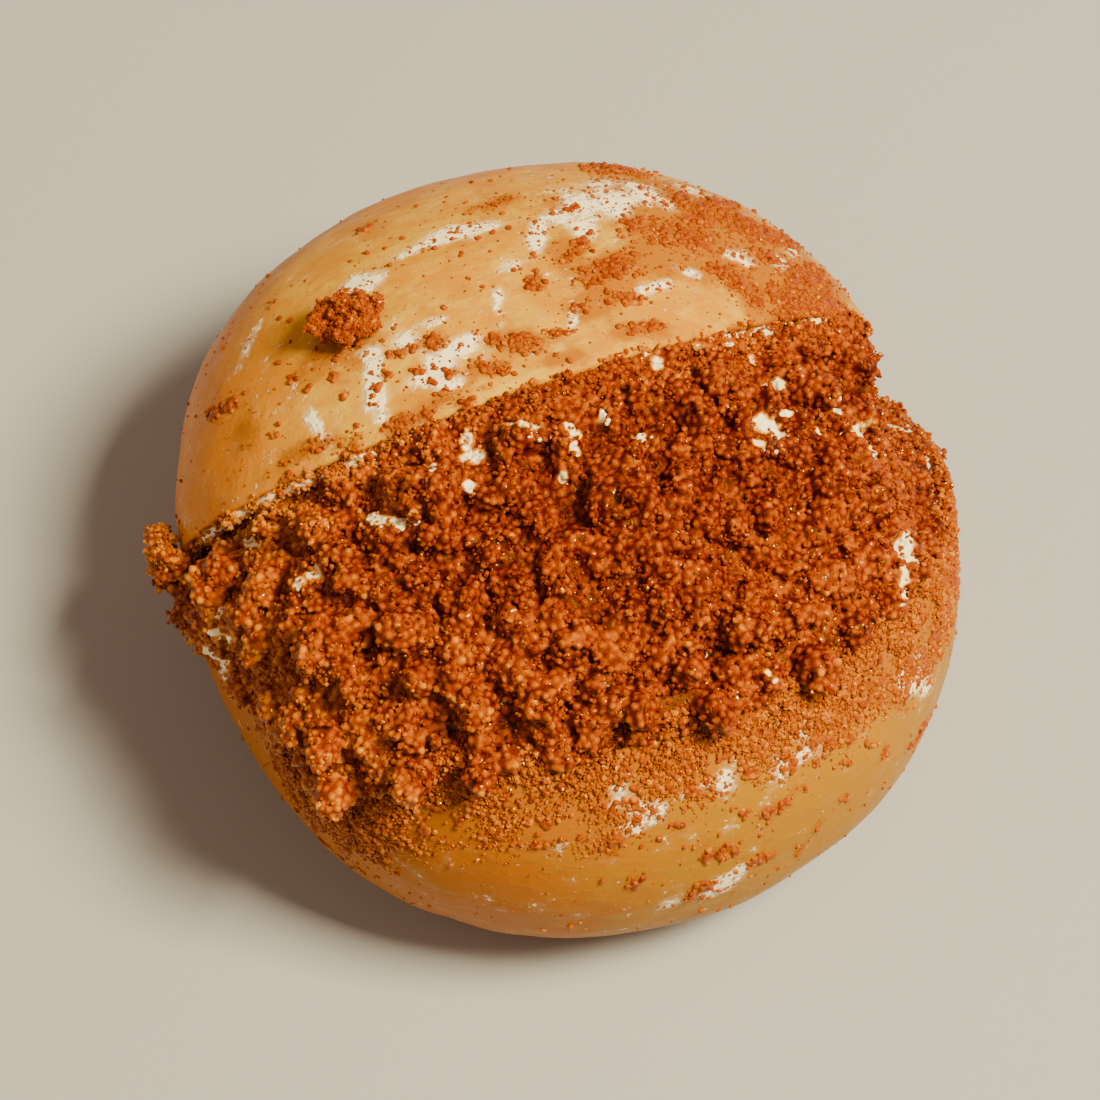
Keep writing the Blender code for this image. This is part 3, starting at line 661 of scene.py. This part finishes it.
# The grains' usual tone and its spread
GRAIN_TONE = (0.62, 0.13)
# How much painted shade darkens the gaps between grains and the crevices between clumps
PAINTED_GAP_SHADE = 0.9
PAINTED_CREVICE_SHADE = 0.20
BISCUIT_TONES = ((0.0, (0.055, 0.002, 0.001)), (0.3, (0.155, 0.015, 0.001)), (0.65, (0.29, 0.050, 0.001)),
                 (0.80, (0.31, 0.070, 0.001)), (0.92, (0.37, 0.098, 0.001)), (1.0, (0.50, 0.17, 0.004)))
# Where cream shows between the crumbs, about a millimetre over the skin
DAB_HEIGHT = 0.001
CREAM_DABS = on_skin((
    (222, 534, 7, 3.5, 15), (234, 528, 5, 3, 25), (221, 545, 3, 3, 0), (232, 547, 4, 3, 0),
    (316, 577, 6, 5, 40), (303, 589, 5, 4, 30), (229, 615, 5, 2.5, 60), (237, 640, 4, 3, 0),
    (227, 634, 4, 3, 0), (212, 664, 8, 4, -55), (374, 524, 14, 5, -20), (402, 527, 8, 4, -10),
    (419, 524, 4, 3, 0), (470, 459, 11, 7, 10), (464, 440, 7, 5, 80), (433, 472, 4, 3, 0),
    (470, 492, 5, 4, 0), (509, 437, 5, 3, 0), (530, 440, 11, 5, -5), (573, 438, 8, 5, 10),
    (574, 459, 6, 4, 40), (563, 482, 4, 3, 0), (603, 422, 6, 3.5, 80), (641, 442, 7, 3.5, 0),
    (767, 426, 10, 7, 0), (781, 438, 7, 4, -60), (758, 453, 6, 4, 0), (836, 412, 5, 4, 0),
    (821, 434, 6, 3, 80), (866, 430, 8, 6, 30), (873, 442, 10, 5, 80), (887, 454, 8, 3.5, 0),
    (869, 457, 4, 3, 0), (889, 405, 5, 4, 70), (904, 551, 12, 4.5, 80), (900, 570, 8, 5, 90),
    (901, 588, 11, 4.5, 85), (893, 602, 4, 3, 0), (911, 562, 4, 3, 0), (735, 341, 6, 4, 0),
    (757, 358, 8, 4, 80), (660, 363, 5, 5, 0), (776, 388, 8, 5, 20), (700, 345, 8, 3, 20),
    (645, 352, 6, 2.5, 10), (764, 678, 3, 3, 0), (690, 372, 4, 2, 0), (790, 415, 4, 3, 0),
), DAB_HEIGHT)


def biscuit_gloss(wire):
    """Patches of sugar and butter that glisten on the duller biscuit."""
    return {
        "Coat Weight": wire.noise(0.00045, 1.0).step(0.60, 0.68) * 0.9,
        "Coat Roughness": 0.12,
        "Roughness": 0.42,
        "Specular IOR Level": 0.35,
        "Specular Tint": BISCUIT_SHEEN,
    }


bed_finish, shader, wire = new_finish("packed_biscuit")
tone = wire.kept("tone") + (wire.noise(0.0022, 3.0) - 0.5) * 0.5 + (wire.noise(0.0004, 2.0) - 0.5) * 0.4
biscuit = wire.node("ShaderNodeValToRGB", {"stops": BISCUIT_TONES}, {"Fac": tone})
bare = wire.kept("bare") + (wire.noise(0.0012, 3.0) - 0.5) * 1.1
biscuit = bare.step(0.28, 0.55).mixed(biscuit, SOAKED_GOLD)
feed(shader, {
    "Base Color": bare.step(0.45, 0.75).mixed(biscuit, CREAM_WHITE),
    "Normal": bumped(wire.noise(0.00032, 3.0), 0.8, 0.00015),
    **biscuit_gloss(wire),
})


def surface_of(piece):
    """Corners, normals and areas of the piece's triangles."""
    piece.data.calc_loop_triangles()
    triangles = np.empty(len(piece.data.loop_triangles) * 3, dtype=np.int32)
    piece.data.loop_triangles.foreach_get("vertices", triangles)
    corners = points_of(piece)[triangles.reshape(-1, 3)]
    cross = np.cross(corners[:, 1] - corners[:, 0], corners[:, 2] - corners[:, 0])
    double_area = np.linalg.norm(cross, axis=1)
    return corners, cross / np.maximum(double_area, 1e-12)[:, None], double_area / 2


def facing_out(points, normals):
    """1 where a surface faces away from the hinge, 0 where it faces the hinge. At the mouth's left
    end, where the bed hangs over, it's 1 all round."""
    outward = points - HINGE
    outward /= np.linalg.norm(outward, axis=1, keepdims=True)
    facing = smooth((normals * outward).sum(axis=1), -0.1, 0.25)
    return np.maximum(facing, smooth(angles_of(points)[0], -54, -62))


def openness(surface):
    """How much each triangle of a surface faces out, from 0 to 1."""
    return facing_out(surface[0].mean(axis=1), surface[1])


def scatter(surface, weights, number, chance):
    """Random places on a surface and the normals there, thicker where the weights are large."""
    corners, normals, areas = surface
    odds = areas * weights
    picks = chance.choice(len(areas), number, p=odds / odds.sum())
    share = chance.random((number, 2))
    share = np.where(share.sum(axis=1, keepdims=True) > 1, 1 - share, share)
    first, second, third = corners[picks].transpose(1, 0, 2)
    places = first + (second - first) * share[:, :1] + (third - first) * share[:, 1:]
    return places, normals[picks]


def ball_cluster(name, places, radii):
    """One mesh of many balls."""
    bpy.ops.object.select_all(action="DESELECT")
    bpy.ops.mesh.primitive_ico_sphere_add(subdivisions=2, radius=1.0)
    made = bpy.context.object
    made.name = name
    ball = points_of(made)
    faces = np.array([face.vertices[:] for face in made.data.polygons])
    faces = faces + np.arange(len(radii))[:, None, None] * len(ball)
    points = ball * radii[:, None, None] + places[:, None, :]
    made.data.clear_geometry()
    made.data.from_pydata(points.reshape(-1, 3), [], faces.reshape(-1, 3))
    return made


def merge(piece, other):
    """Make the other piece's mesh part of the piece."""
    pick(piece, other)
    bpy.ops.object.join()


def tree_of(places):
    """A search tree of places."""
    tree = KDTree(len(places))
    for number, place in enumerate(places):
        tree.insert(place, number)
    tree.balance()
    return tree


def light_and_shade_tone(places):
    """How much paler or darker the biscuit is painted at each place, as painted light and shade: paler at
    the left end, low down along the bed's edge and high up towards the lid, a little darker in the middle.
    """
    along, rise = angles_of(places)
    sideways = np.interp(along, (-70, -45, -25, 0, 25, 60), (0.26, 0.31, 0.06, -0.08, -0.05, 0.02))
    return sideways + 0.16 * smooth(rise, 50, 37) + 0.10 * smooth(rise, 56, 64)


def note_tones(piece, places, radii, tones):
    """Give the piece's surface the tone of the nearest grain, with painted shade darker in the gaps."""
    tree = tree_of(places)
    nearest = [tree.find(point)[1:] for point in points_of(piece)]
    grain, distance = (np.array(column) for column in zip(*nearest))
    gap = np.clip(distance / radii[grain] - 0.95, 0.0, 0.6)
    note(piece, "tone", tones[grain] - PAINTED_GAP_SHADE * gap)


def cover_with_grains(piece, weights, tried, tone_at, chance):
    """Fuse round grains to the piece side by side, each with its own tone, and painted shade darker in the
    gaps.
    """
    places, normals = scatter(surface_of(piece), weights, tried, chance)
    free = np.ones(tried, dtype=bool)
    tree = tree_of(places)
    for number, place in enumerate(places):
        if free[number]:
            for _, other, _ in tree.find_range(place, GRAINS_APART):
                free[other] = other <= number and free[other]
    places, normals = places[free], normals[free]
    radii = chance.uniform(*GRAIN_RADII, len(places))
    places += normals * (chance.uniform(-0.2, 0.6, len(places)) * radii)[:, None]
    merge(piece, ball_cluster("grains", places, radii))
    finished(piece, "REMESH", mode="VOXEL", voxel_size=GRAIN_VOXEL)
    finished(piece, "SMOOTH", factor=0.3, iterations=1)
    note_tones(piece, places, radii, chance.normal(*GRAIN_TONE, len(places)) + tone_at(places))


bed = copy_of("crumb_layer", "crumb_bed")
along, rise, radii = np.array(CORNER_LUMPS).T
merge(bed, ball_cluster("corner_lumps", skin_point(along, rise, -radii), radii))
finished(bed, "REMESH", mode="VOXEL", voxel_size=BED_VOXEL)
finished(bed, "SMOOTH", factor=0.5, iterations=2)

# Its surface is drawn into round clumps with deep crevices between them
chance = np.random.default_rng(25)
bed_surface = surface_of(bed)
clump_places, _ = scatter(bed_surface, openness(bed_surface) + 1e-9, BED_CLUMPS, chance)
least, greatest = BED_CLUMP_RADII
clump_radii = least + (greatest - least) * chance.random(BED_CLUMPS) ** 1.5
bed_points = points_of(bed)
bulge = np.full(len(bed_points), -CREVICE_DEPTH)
for place, radius in zip(clump_places, clump_radii):
    apart = ((bed_points - place) ** 2).sum(axis=1)
    near = apart < radius ** 2
    bulge[near] = np.maximum(bulge[near], np.sqrt(radius ** 2 - apart[near]) - 0.75 * radius)
outer = facing_out(bed_points, normals_of(bed))
away = bed_points - HINGE
away /= np.linalg.norm(away, axis=1, keepdims=True)
bed_along, bed_rise = angles_of(bed_points)
in_corner = smooth(bed_along, 40, 47) * smooth(bed_rise, 52, 58)
bulge = np.where(bulge < 0, bulge * smooth(bed_rise, LID_RISE, LID_RISE - 5) * (1 - in_corner), bulge)
bulge -= RIGHT_END_INSET * smooth(bed_along, 40, 50) * (1 - in_corner) * smooth(bed_rise, 28, 40)
move_points(bed, bed_points + away * (outer * bulge)[:, None])
clump_tree = tree_of(clump_places)


def crevice(places, reach):
    """1 in the crevices between the bed's clumps, 0 on a clump whose middle is within reach."""
    over = np.zeros(len(places))
    for number, place in enumerate(places):
        for _, clump, distance in clump_tree.find_range(place, reach):
            over[number] = max(over[number], 1 - distance / clump_radii[clump])
    return smooth(over, 0.22, 0.04) * smooth(angles_of(places)[1], LID_RISE - 3, LID_RISE - 7)


# Painted light and shade: the grains are paler or darker by place, and darker in the crevices
cover_with_grains(bed, openness(surface_of(bed)) + 1e-9, GRAINS_TRIED,
                  lambda places: light_and_shade_tone(places) - PAINTED_CREVICE_SHADE * crevice(places, greatest), chance)
bare_marks = [(*mark[:2], mark[2] * 1.3, mark[3] * 1.3, mark[4], 1.1) for mark in CREAM_DABS]
note(bed, "bare", strokes(points_of(bed), bare_marks))
coat(bed, bed_finish)
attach(bed, "root")
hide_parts("crumb_layer")

# The dabs of cream
# Where the crumbs have fallen off or the spoon has dragged cream over them, it lies on the bed in
# small ragged dabs.

BALLS_PER_MM2 = 2.6
BALL_RADII = (0.00018, 0.00040)
DAB_DEPTH = 0.00018
DAB_VOXEL = 0.00015


def spots_on(piece, marks, balls_per_mm2, depth, chance):
    """Places on the piece's outside, strewn over the oval marks and sunk in to a depth."""
    tree = BVHTree.FromObject(piece, bpy.context.evaluated_depsgraph_get())
    spots = []
    for along, rise, half_length, half_width, turn, *_ in marks:
        middle, lengthways, crossways = axes_at(along, rise, turn)
        for _ in range(2 + int(math.pi * half_length * half_width * 1e6 * balls_per_mm2)):
            reach, way = chance.random() ** 0.6, chance.uniform(0, math.tau)
            place = middle + lengthways * half_length * reach * math.cos(way)
            place = Vector(place + crossways * half_width * reach * math.sin(way))
            outward = (place - Vector(HINGE)).normalized()
            spot = tree.ray_cast(place + outward * 0.01, -outward)[0]
            if spot:
                spots.append(spot - outward * depth)
    return np.array(spots)


chance = np.random.default_rng(23)
spots = spots_on(bed, CREAM_DABS, BALLS_PER_MM2, DAB_DEPTH, chance)
dabs = ball_cluster("cream_dabs", spots, chance.uniform(*BALL_RADII, len(spots)))
finished(dabs, "REMESH", mode="VOXEL", voxel_size=DAB_VOXEL)
finished(dabs, "SMOOTH", factor=0.5, iterations=3)
coat(dabs, cream_finish)
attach(dabs, "root")

# The loose crumbs on the bed
# Grains of broken biscuit from coarse to fine, glistening with sugar and butter. They cling to the
# moist bed and to each other in small heaps, with dark gaps between the heaps.

# Each kind of crumb as (name, number, least and greatest radius, height over the bed, its shapes)
BED_CRUMBS = (
    ("coarse_crumbs", 6500, 0.00032, 0.00048, 0.00010, "lumpy"),
    ("medium_crumbs", 8000, 0.00024, 0.00036, 0.00010, "lumpy"),
    ("fine_crumbs", 7000, 0.00016, 0.00026, 0.00018, "lumpy"),
    ("gritty_crumbs", 6000, 0.00010, 0.00016, 0.00026, "sharp"),
)
HEAPS = 1300
HEAP_SHARE = 0.45
HEAP_RADII = (0.0005, 0.0014)
HEAP_TONE_SPREAD = 0.08
CRUMB_SHAPES = 10
# How much thicker they lie on the bead and on the cream at the ends than on the bed
BEAD_SHARE = 2.5
END_SHARE = 2.0
# The crumbs' usual tone and its spread, and how much paler they are where cream soaks them
CRUMB_TONE = (0.60, 0.15)
SOAKED_TONE = 0.35
LOST_IN_CREVICES = 0.6

crumb_finish, shader, wire = new_finish("biscuit_crumbs")
tone = wire.kept("tone") + (wire.noise(0.0006, 2.0) - 0.5) * 0.5
feed(shader, {
    "Base Color": wire.node("ShaderNodeValToRGB", {"stops": BISCUIT_TONES}, {"Fac": tone}),
    "Normal": bumped(wire.noise(0.00035, 2.0), 0.5, 0.0001),
    **biscuit_gloss(wire),
})


def crumb_shapes(sharp, chance):
    """A few broken grains, as arrays of points about their middles, and their faces: lumpy ones
    of twenty faces, or small sharp ones of eight."""
    shapes = []
    for number in range(CRUMB_SHAPES):
        bpy.ops.object.select_all(action="DESELECT")
        if sharp:
            bpy.ops.mesh.primitive_cylinder_add(vertices=3, radius=1.0, depth=1.5)
        else:
            bpy.ops.mesh.primitive_ico_sphere_add(subdivisions=1, radius=1.0)
        grain = bpy.context.object
        bpy.ops.object.mode_set(mode="EDIT")
        bpy.ops.mesh.select_all(action="SELECT")
        bpy.ops.mesh.quads_convert_to_tris(quad_method="FIXED")
        bpy.ops.transform.vertex_random(offset=0.35, seed=number)
        bpy.ops.object.mode_set(mode="OBJECT")
        shapes.append(points_of(grain) * chance.uniform(0.75, 1.25, 3))
        faces = np.array([face.vertices[:] for face in grain.data.polygons])
        bpy.data.objects.remove(grain)
    return np.stack(shapes), faces


def turns(number, chance):
    """Random rotation matrices."""
    spin = chance.normal(size=(number, 4))
    w, x, y, z = (spin / np.linalg.norm(spin, axis=1, keepdims=True)).T
    rows = ((1 - 2 * (y * y + z * z), 2 * (x * y - w * z), 2 * (x * z + w * y)),
            (2 * (x * y + w * z), 1 - 2 * (x * x + z * z), 2 * (y * z - w * x)),
            (2 * (x * z - w * y), 2 * (y * z + w * x), 1 - 2 * (x * x + y * y)))
    return np.array(rows).transpose(2, 0, 1)


def crumbs(name, places, radii, tones, shapes, chance):
    """One piece of many grains, each a turned copy of one of the shapes."""
    forms, faces = shapes
    number = len(places)
    copies = forms[chance.integers(len(forms), size=number)] * radii[:, None, None]
    copies = np.einsum("nij,nkj->nki", turns(number, chance), copies) + places[:, None, :]
    corners = faces[None] + np.arange(number)[:, None, None] * forms.shape[1]
    mesh = bpy.data.meshes.new(name)
    mesh.from_pydata(copies.reshape(-1, 3), [], corners.reshape(-1, 3))
    made = bpy.data.objects.new(name, mesh)
    bpy.context.scene.collection.objects.link(made)
    note(made, "tone", np.repeat(tones, forms.shape[1]))
    mesh.materials.append(crumb_finish)
    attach(made, "root")


chance = np.random.default_rng(31)
SHAPES = {"lumpy": crumb_shapes(False, chance), "sharp": crumb_shapes(True, chance)}


def kept_crumbs(surface):
    """The share of crumbs that stay on each triangle, fewer where cream shows."""
    return openness(surface) * np.clip(1 - strokes(surface[0].mean(axis=1), bare_marks), 0.5, 1.0)


# They lie on the bed, on the bead and on the cream at the mouth's ends
surfaces = [surface_of(piece) for piece in (bed, bead, cream)]
ground = tuple(np.concatenate(parts) for parts in zip(*surfaces))
at_end = smooth(np.abs(angles_of(surfaces[2][0].mean(axis=1))[0]), 56, 64)
weights = (kept_crumbs(surfaces[0]), BEAD_SHARE * kept_crumbs(surfaces[1]),
           END_SHARE * at_end * openness(surfaces[2]))
weights = np.concatenate(weights)

heap_places, heap_normals = scatter(ground, weights, HEAPS, chance)
heap_radii = chance.uniform(*HEAP_RADII, HEAPS)
heap_tones = chance.normal(0, HEAP_TONE_SPREAD, HEAPS)
soaked_marks = [(*mark[:2], mark[2] * 1.6 + 0.0006, mark[3] * 1.6 + 0.0006, mark[4], 1.0)
                for mark in CREAM_DABS]
for name, number, least, greatest, height, kind in BED_CRUMBS:
    radii = chance.uniform(least, greatest, number)
    places, normals = scatter(ground, weights, number, chance)
    places += normals * (height + chance.uniform(-0.6, 0.4, number) * radii)[:, None]
    tones = chance.normal(*CRUMB_TONE, number)
    heaped = chance.random(number) < HEAP_SHARE
    heap = chance.integers(HEAPS, size=heaped.sum())
    direction = chance.normal(size=(len(heap), 3))
    direction /= np.linalg.norm(direction, axis=1, keepdims=True)
    inward = (direction * heap_normals[heap]).sum(axis=1, keepdims=True)
    direction = np.where(inward < -0.2, -direction, direction)
    reach = heap_radii[heap] * chance.random(len(heap)) ** 0.5
    places[heaped] = heap_places[heap] + direction * reach[:, None]
    tones[heaped] += heap_tones[heap]
    sunken = crevice(places, greatest)
    # Painted light and shade: paler or darker by place, and darker in the crevices
    tones += light_and_shade_tone(places) - PAINTED_CREVICE_SHADE * sunken
    tones += SOAKED_TONE * np.clip(strokes(places, soaked_marks), 0, 1)
    left = chance.random(number) > LOST_IN_CREVICES * sunken
    crumbs(name, places[left], radii[left], tones[left], SHAPES[kind], chance)

# The crumbs on the skin
# Grains that cling to the cream-smeared skin: thick on the base just under the bed, stuck
# together in flat clumps on the lid, and sprinkled over the rest.

# Each kind as (name, number, least and greatest radius, how much fewer the greatest are, its shapes)
SKIN_CRUMBS = (
    ("skin_crumbs", 9500, 0.00018, 0.00048, 1.6, "lumpy"),
    ("skin_dust", 12000, 0.00013, 0.00024, 1.2, "sharp"),
    ("skin_grit", 11000, 0.00009, 0.00016, 1.2, "sharp"),
)
LEAST_CLUMPED = 0.75
BASE_CLUMPS = 220
BASE_CLUMPS_ALONG = (-43, 42)
BASE_CLUMP_HALF_LENGTHS = (0.0006, 0.0018)
BASE_CLUMP_HALF_WIDTHS = (0.0004, 0.0010)
CLUMP_BALLS_PER_MM2 = 1.5
CLUMP_BALL_RADII = (0.00022, 0.00050)
CLUMP_VOXEL = 0.0002
PATCH_SIZE = 0.0045
PILE_HEIGHT = 0.0008
# How thickly the grains lie near the bed, in dusted patches, on stains, on smears and elsewhere
NEAR_BED = 3.6
IN_PATCHES = 0.5
IN_STAINS = 0.16
IN_SMEARS = 0.2
ELSEWHERE = 0.012
# Skin faces away from the hinge by at least this much, the slit's faces by less
SKIN_CLEARANCE = 0.012
SKIN_TONE = (0.72, 0.12)
PALEST = 0.97

chance = np.random.default_rng(43)
clumped = [mark for mark in DUSTINGS if mark[5] >= LEAST_CLUMPED]
for along in chance.uniform(*BASE_CLUMPS_ALONG, BASE_CLUMPS):
    bare, dense = np.interp(along, *zip(*DUST_EDGE)), np.interp(along, *zip(*CRUMB_EDGE))
    rise = bare + (dense - bare) * (0.15 + 0.85 * chance.random() ** 0.6)
    half_sizes = chance.uniform(*BASE_CLUMP_HALF_LENGTHS), chance.uniform(*BASE_CLUMP_HALF_WIDTHS)
    clumped.append((along, rise, *half_sizes, chance.uniform(0, 180)))
places = spots_on(bun, clumped, CLUMP_BALLS_PER_MM2, 0.0, chance)
radii = chance.uniform(*CLUMP_BALL_RADII, len(places))
patches = ball_cluster("crumb_patches", places, radii)
finished(patches, "REMESH", mode="VOXEL", voxel_size=CLUMP_VOXEL)
finished(patches, "SMOOTH", factor=0.5, iterations=1)
on_base = smooth(angles_of(places)[1], 60, 50)
note_tones(patches, places, radii, chance.normal(*SKIN_TONE, len(places)) + 0.05 * on_base)
coat(patches, bed_finish)
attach(patches, "root")

chance = np.random.default_rng(41)
skin_surface = surface_of(bun)
middles = skin_surface[0].mean(axis=1)
middle_along, middle_rise = angles_of(middles)
outside = (skin_surface[1] * (middles - HINGE)).sum(axis=1) > SKIN_CLEARANCE
near_bed = base_dust(middle_along, middle_rise)
patchy = np.array([noise.noise(Vector(middle) / PATCH_SIZE) for middle in middles])
in_patches = np.clip(strokes(middles, DUSTINGS), 0, 1.2)
in_stains = np.clip(strokes(middles, STAINS), 0, 1)
in_smears = np.clip(strokes(middles, SMEARS), 0, 1)
over_all = smooth(middle_rise, 150, 110) * smooth(middles[:, 2], 0.006, 0.025)
for name, number, least, greatest, power, kind in SKIN_CRUMBS:
    weights = NEAR_BED * near_bed ** 0.9 * np.clip(0.7 + 2.0 * patchy, 0.05, 1.8)
    weights += IN_PATCHES * in_patches ** 2 + IN_STAINS * in_stains + IN_SMEARS * in_smears
    weights += ELSEWHERE * over_all
    places, normals = scatter(skin_surface, np.where(outside, weights, 0.0), number, chance)
    radii = least + (greatest - least) * chance.random(number) ** power
    along, rise = angles_of(places)
    piled = base_dust(along, rise) ** 2 * chance.random(number)
    places += normals * (PILE_HEIGHT * piled)[:, None]
    on_base = smooth(rise, 60, 50)
    # Grains on the base are painted paler, as painted light against the shade between them
    tones = np.minimum(chance.normal(*SKIN_TONE, number) + 0.12 * on_base, PALEST)
    crumbs(name, places, radii, tones, SHAPES[kind], chance)

# The clump on the lid
# A piece of the bed, about a centimetre long, that has rolled onto the lid and stuck there.

LUMP_GRAINS_TRIED = 2000
LUMP_CRUMBS = 1700
LUMP_CRUMB_RADII = (0.00012, 0.00030)
LUMP_CRUMB_TONE = (0.58, 0.15)
KNOB_SIZE = 0.0024
KNOB_HEIGHT = 0.0024

lump = copy_of("crumb_lump", "clump_heart")
finished(lump, "REMESH", mode="VOXEL", voxel_size=GRAIN_VOXEL)
knobs = bpy.data.textures.new("clump_knobs", "CLOUDS")
knobs.noise_scale = KNOB_SIZE
finished(lump, "DISPLACE", texture=knobs, texture_coords="LOCAL", strength=KNOB_HEIGHT, mid_level=0.55)
chance = np.random.default_rng(51)
# The clump's grains take the same painted light and shade by place
cover_with_grains(lump, 1.0, LUMP_GRAINS_TRIED, light_and_shade_tone, chance)
coat(lump, bed_finish)
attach(lump, "root")
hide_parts("crumb_lump")
places, normals = scatter(surface_of(lump), 1.0, LUMP_CRUMBS, chance)
least, greatest = LUMP_CRUMB_RADII
radii = least + (greatest - least) * chance.random(LUMP_CRUMBS) ** 1.5
places += normals * (chance.uniform(-0.4, 0.3, LUMP_CRUMBS) * radii)[:, None]
tones = chance.normal(*LUMP_CRUMB_TONE, LUMP_CRUMBS)
crumbs("clump_crumbs", places, radii, tones, SHAPES["lumpy"], chance)

# The floor, the light and the camera
# A pale matt table top, a large soft lamp high on the right and a weak one from the left.

TABLE_SIZE = 4.0
TABLE_GAP = 0.0002

bpy.ops.object.select_all(action="DESELECT")
bpy.ops.mesh.primitive_plane_add(size=TABLE_SIZE, location=(0, 0, -TABLE_GAP))
floor = bpy.context.object
floor.name = "table_top"
floor_finish, shader, wire = new_finish("pale_table")
feed(shader, {"Base Color": (0.36, 0.40, 0.57, 1), "Roughness": 0.8})
floor.data.materials.append(floor_finish)

eye = AIM + right * PICTURE_SHIFT[0] + up * PICTURE_SHIFT[1] + out * CAMERA_DISTANCE
bpy.ops.object.camera_add()
camera = bpy.context.object
camera.matrix_world = Matrix.Translation(eye) @ Matrix((right, up, out)).transposed().to_4x4()
camera.data.lens = 135
camera.data.sensor_width = 36
camera.data.clip_start = 0.01
bpy.context.scene.camera = camera


def lamp(name, direction, distance, size, power, colour):
    """A square soft lamp that faces the bun from a direction in the picture."""
    way = Vector(right * direction[0] + up * direction[1] + out * direction[2]).normalized()
    place = Vector(AIM) + way * distance
    bpy.ops.object.light_add(type="AREA", location=place)
    made = bpy.context.object
    made.name = name
    made.rotation_mode = "QUATERNION"
    made.rotation_quaternion = way.to_track_quat("Z", "Y")
    made.data.size = size
    made.data.energy = power
    made.data.color = colour


lamp("key_lamp", (0.49, 0.27, 0.83), 0.9, 0.26, 25.5, (1.0, 0.80, 0.38))
lamp("fill_lamp", (-0.8, 0.1, 0.7), 1.0, 0.8, 2.2, (1.0, 0.62, 0.30))
bpy.context.scene.world = bpy.data.worlds.new("studio")
bpy.context.scene.world.use_nodes = True
sky = bpy.context.scene.world.node_tree.nodes["Background"]
feed(sky, {"Color": (1.0, 0.66, 0.36, 1), "Strength": 0.30})
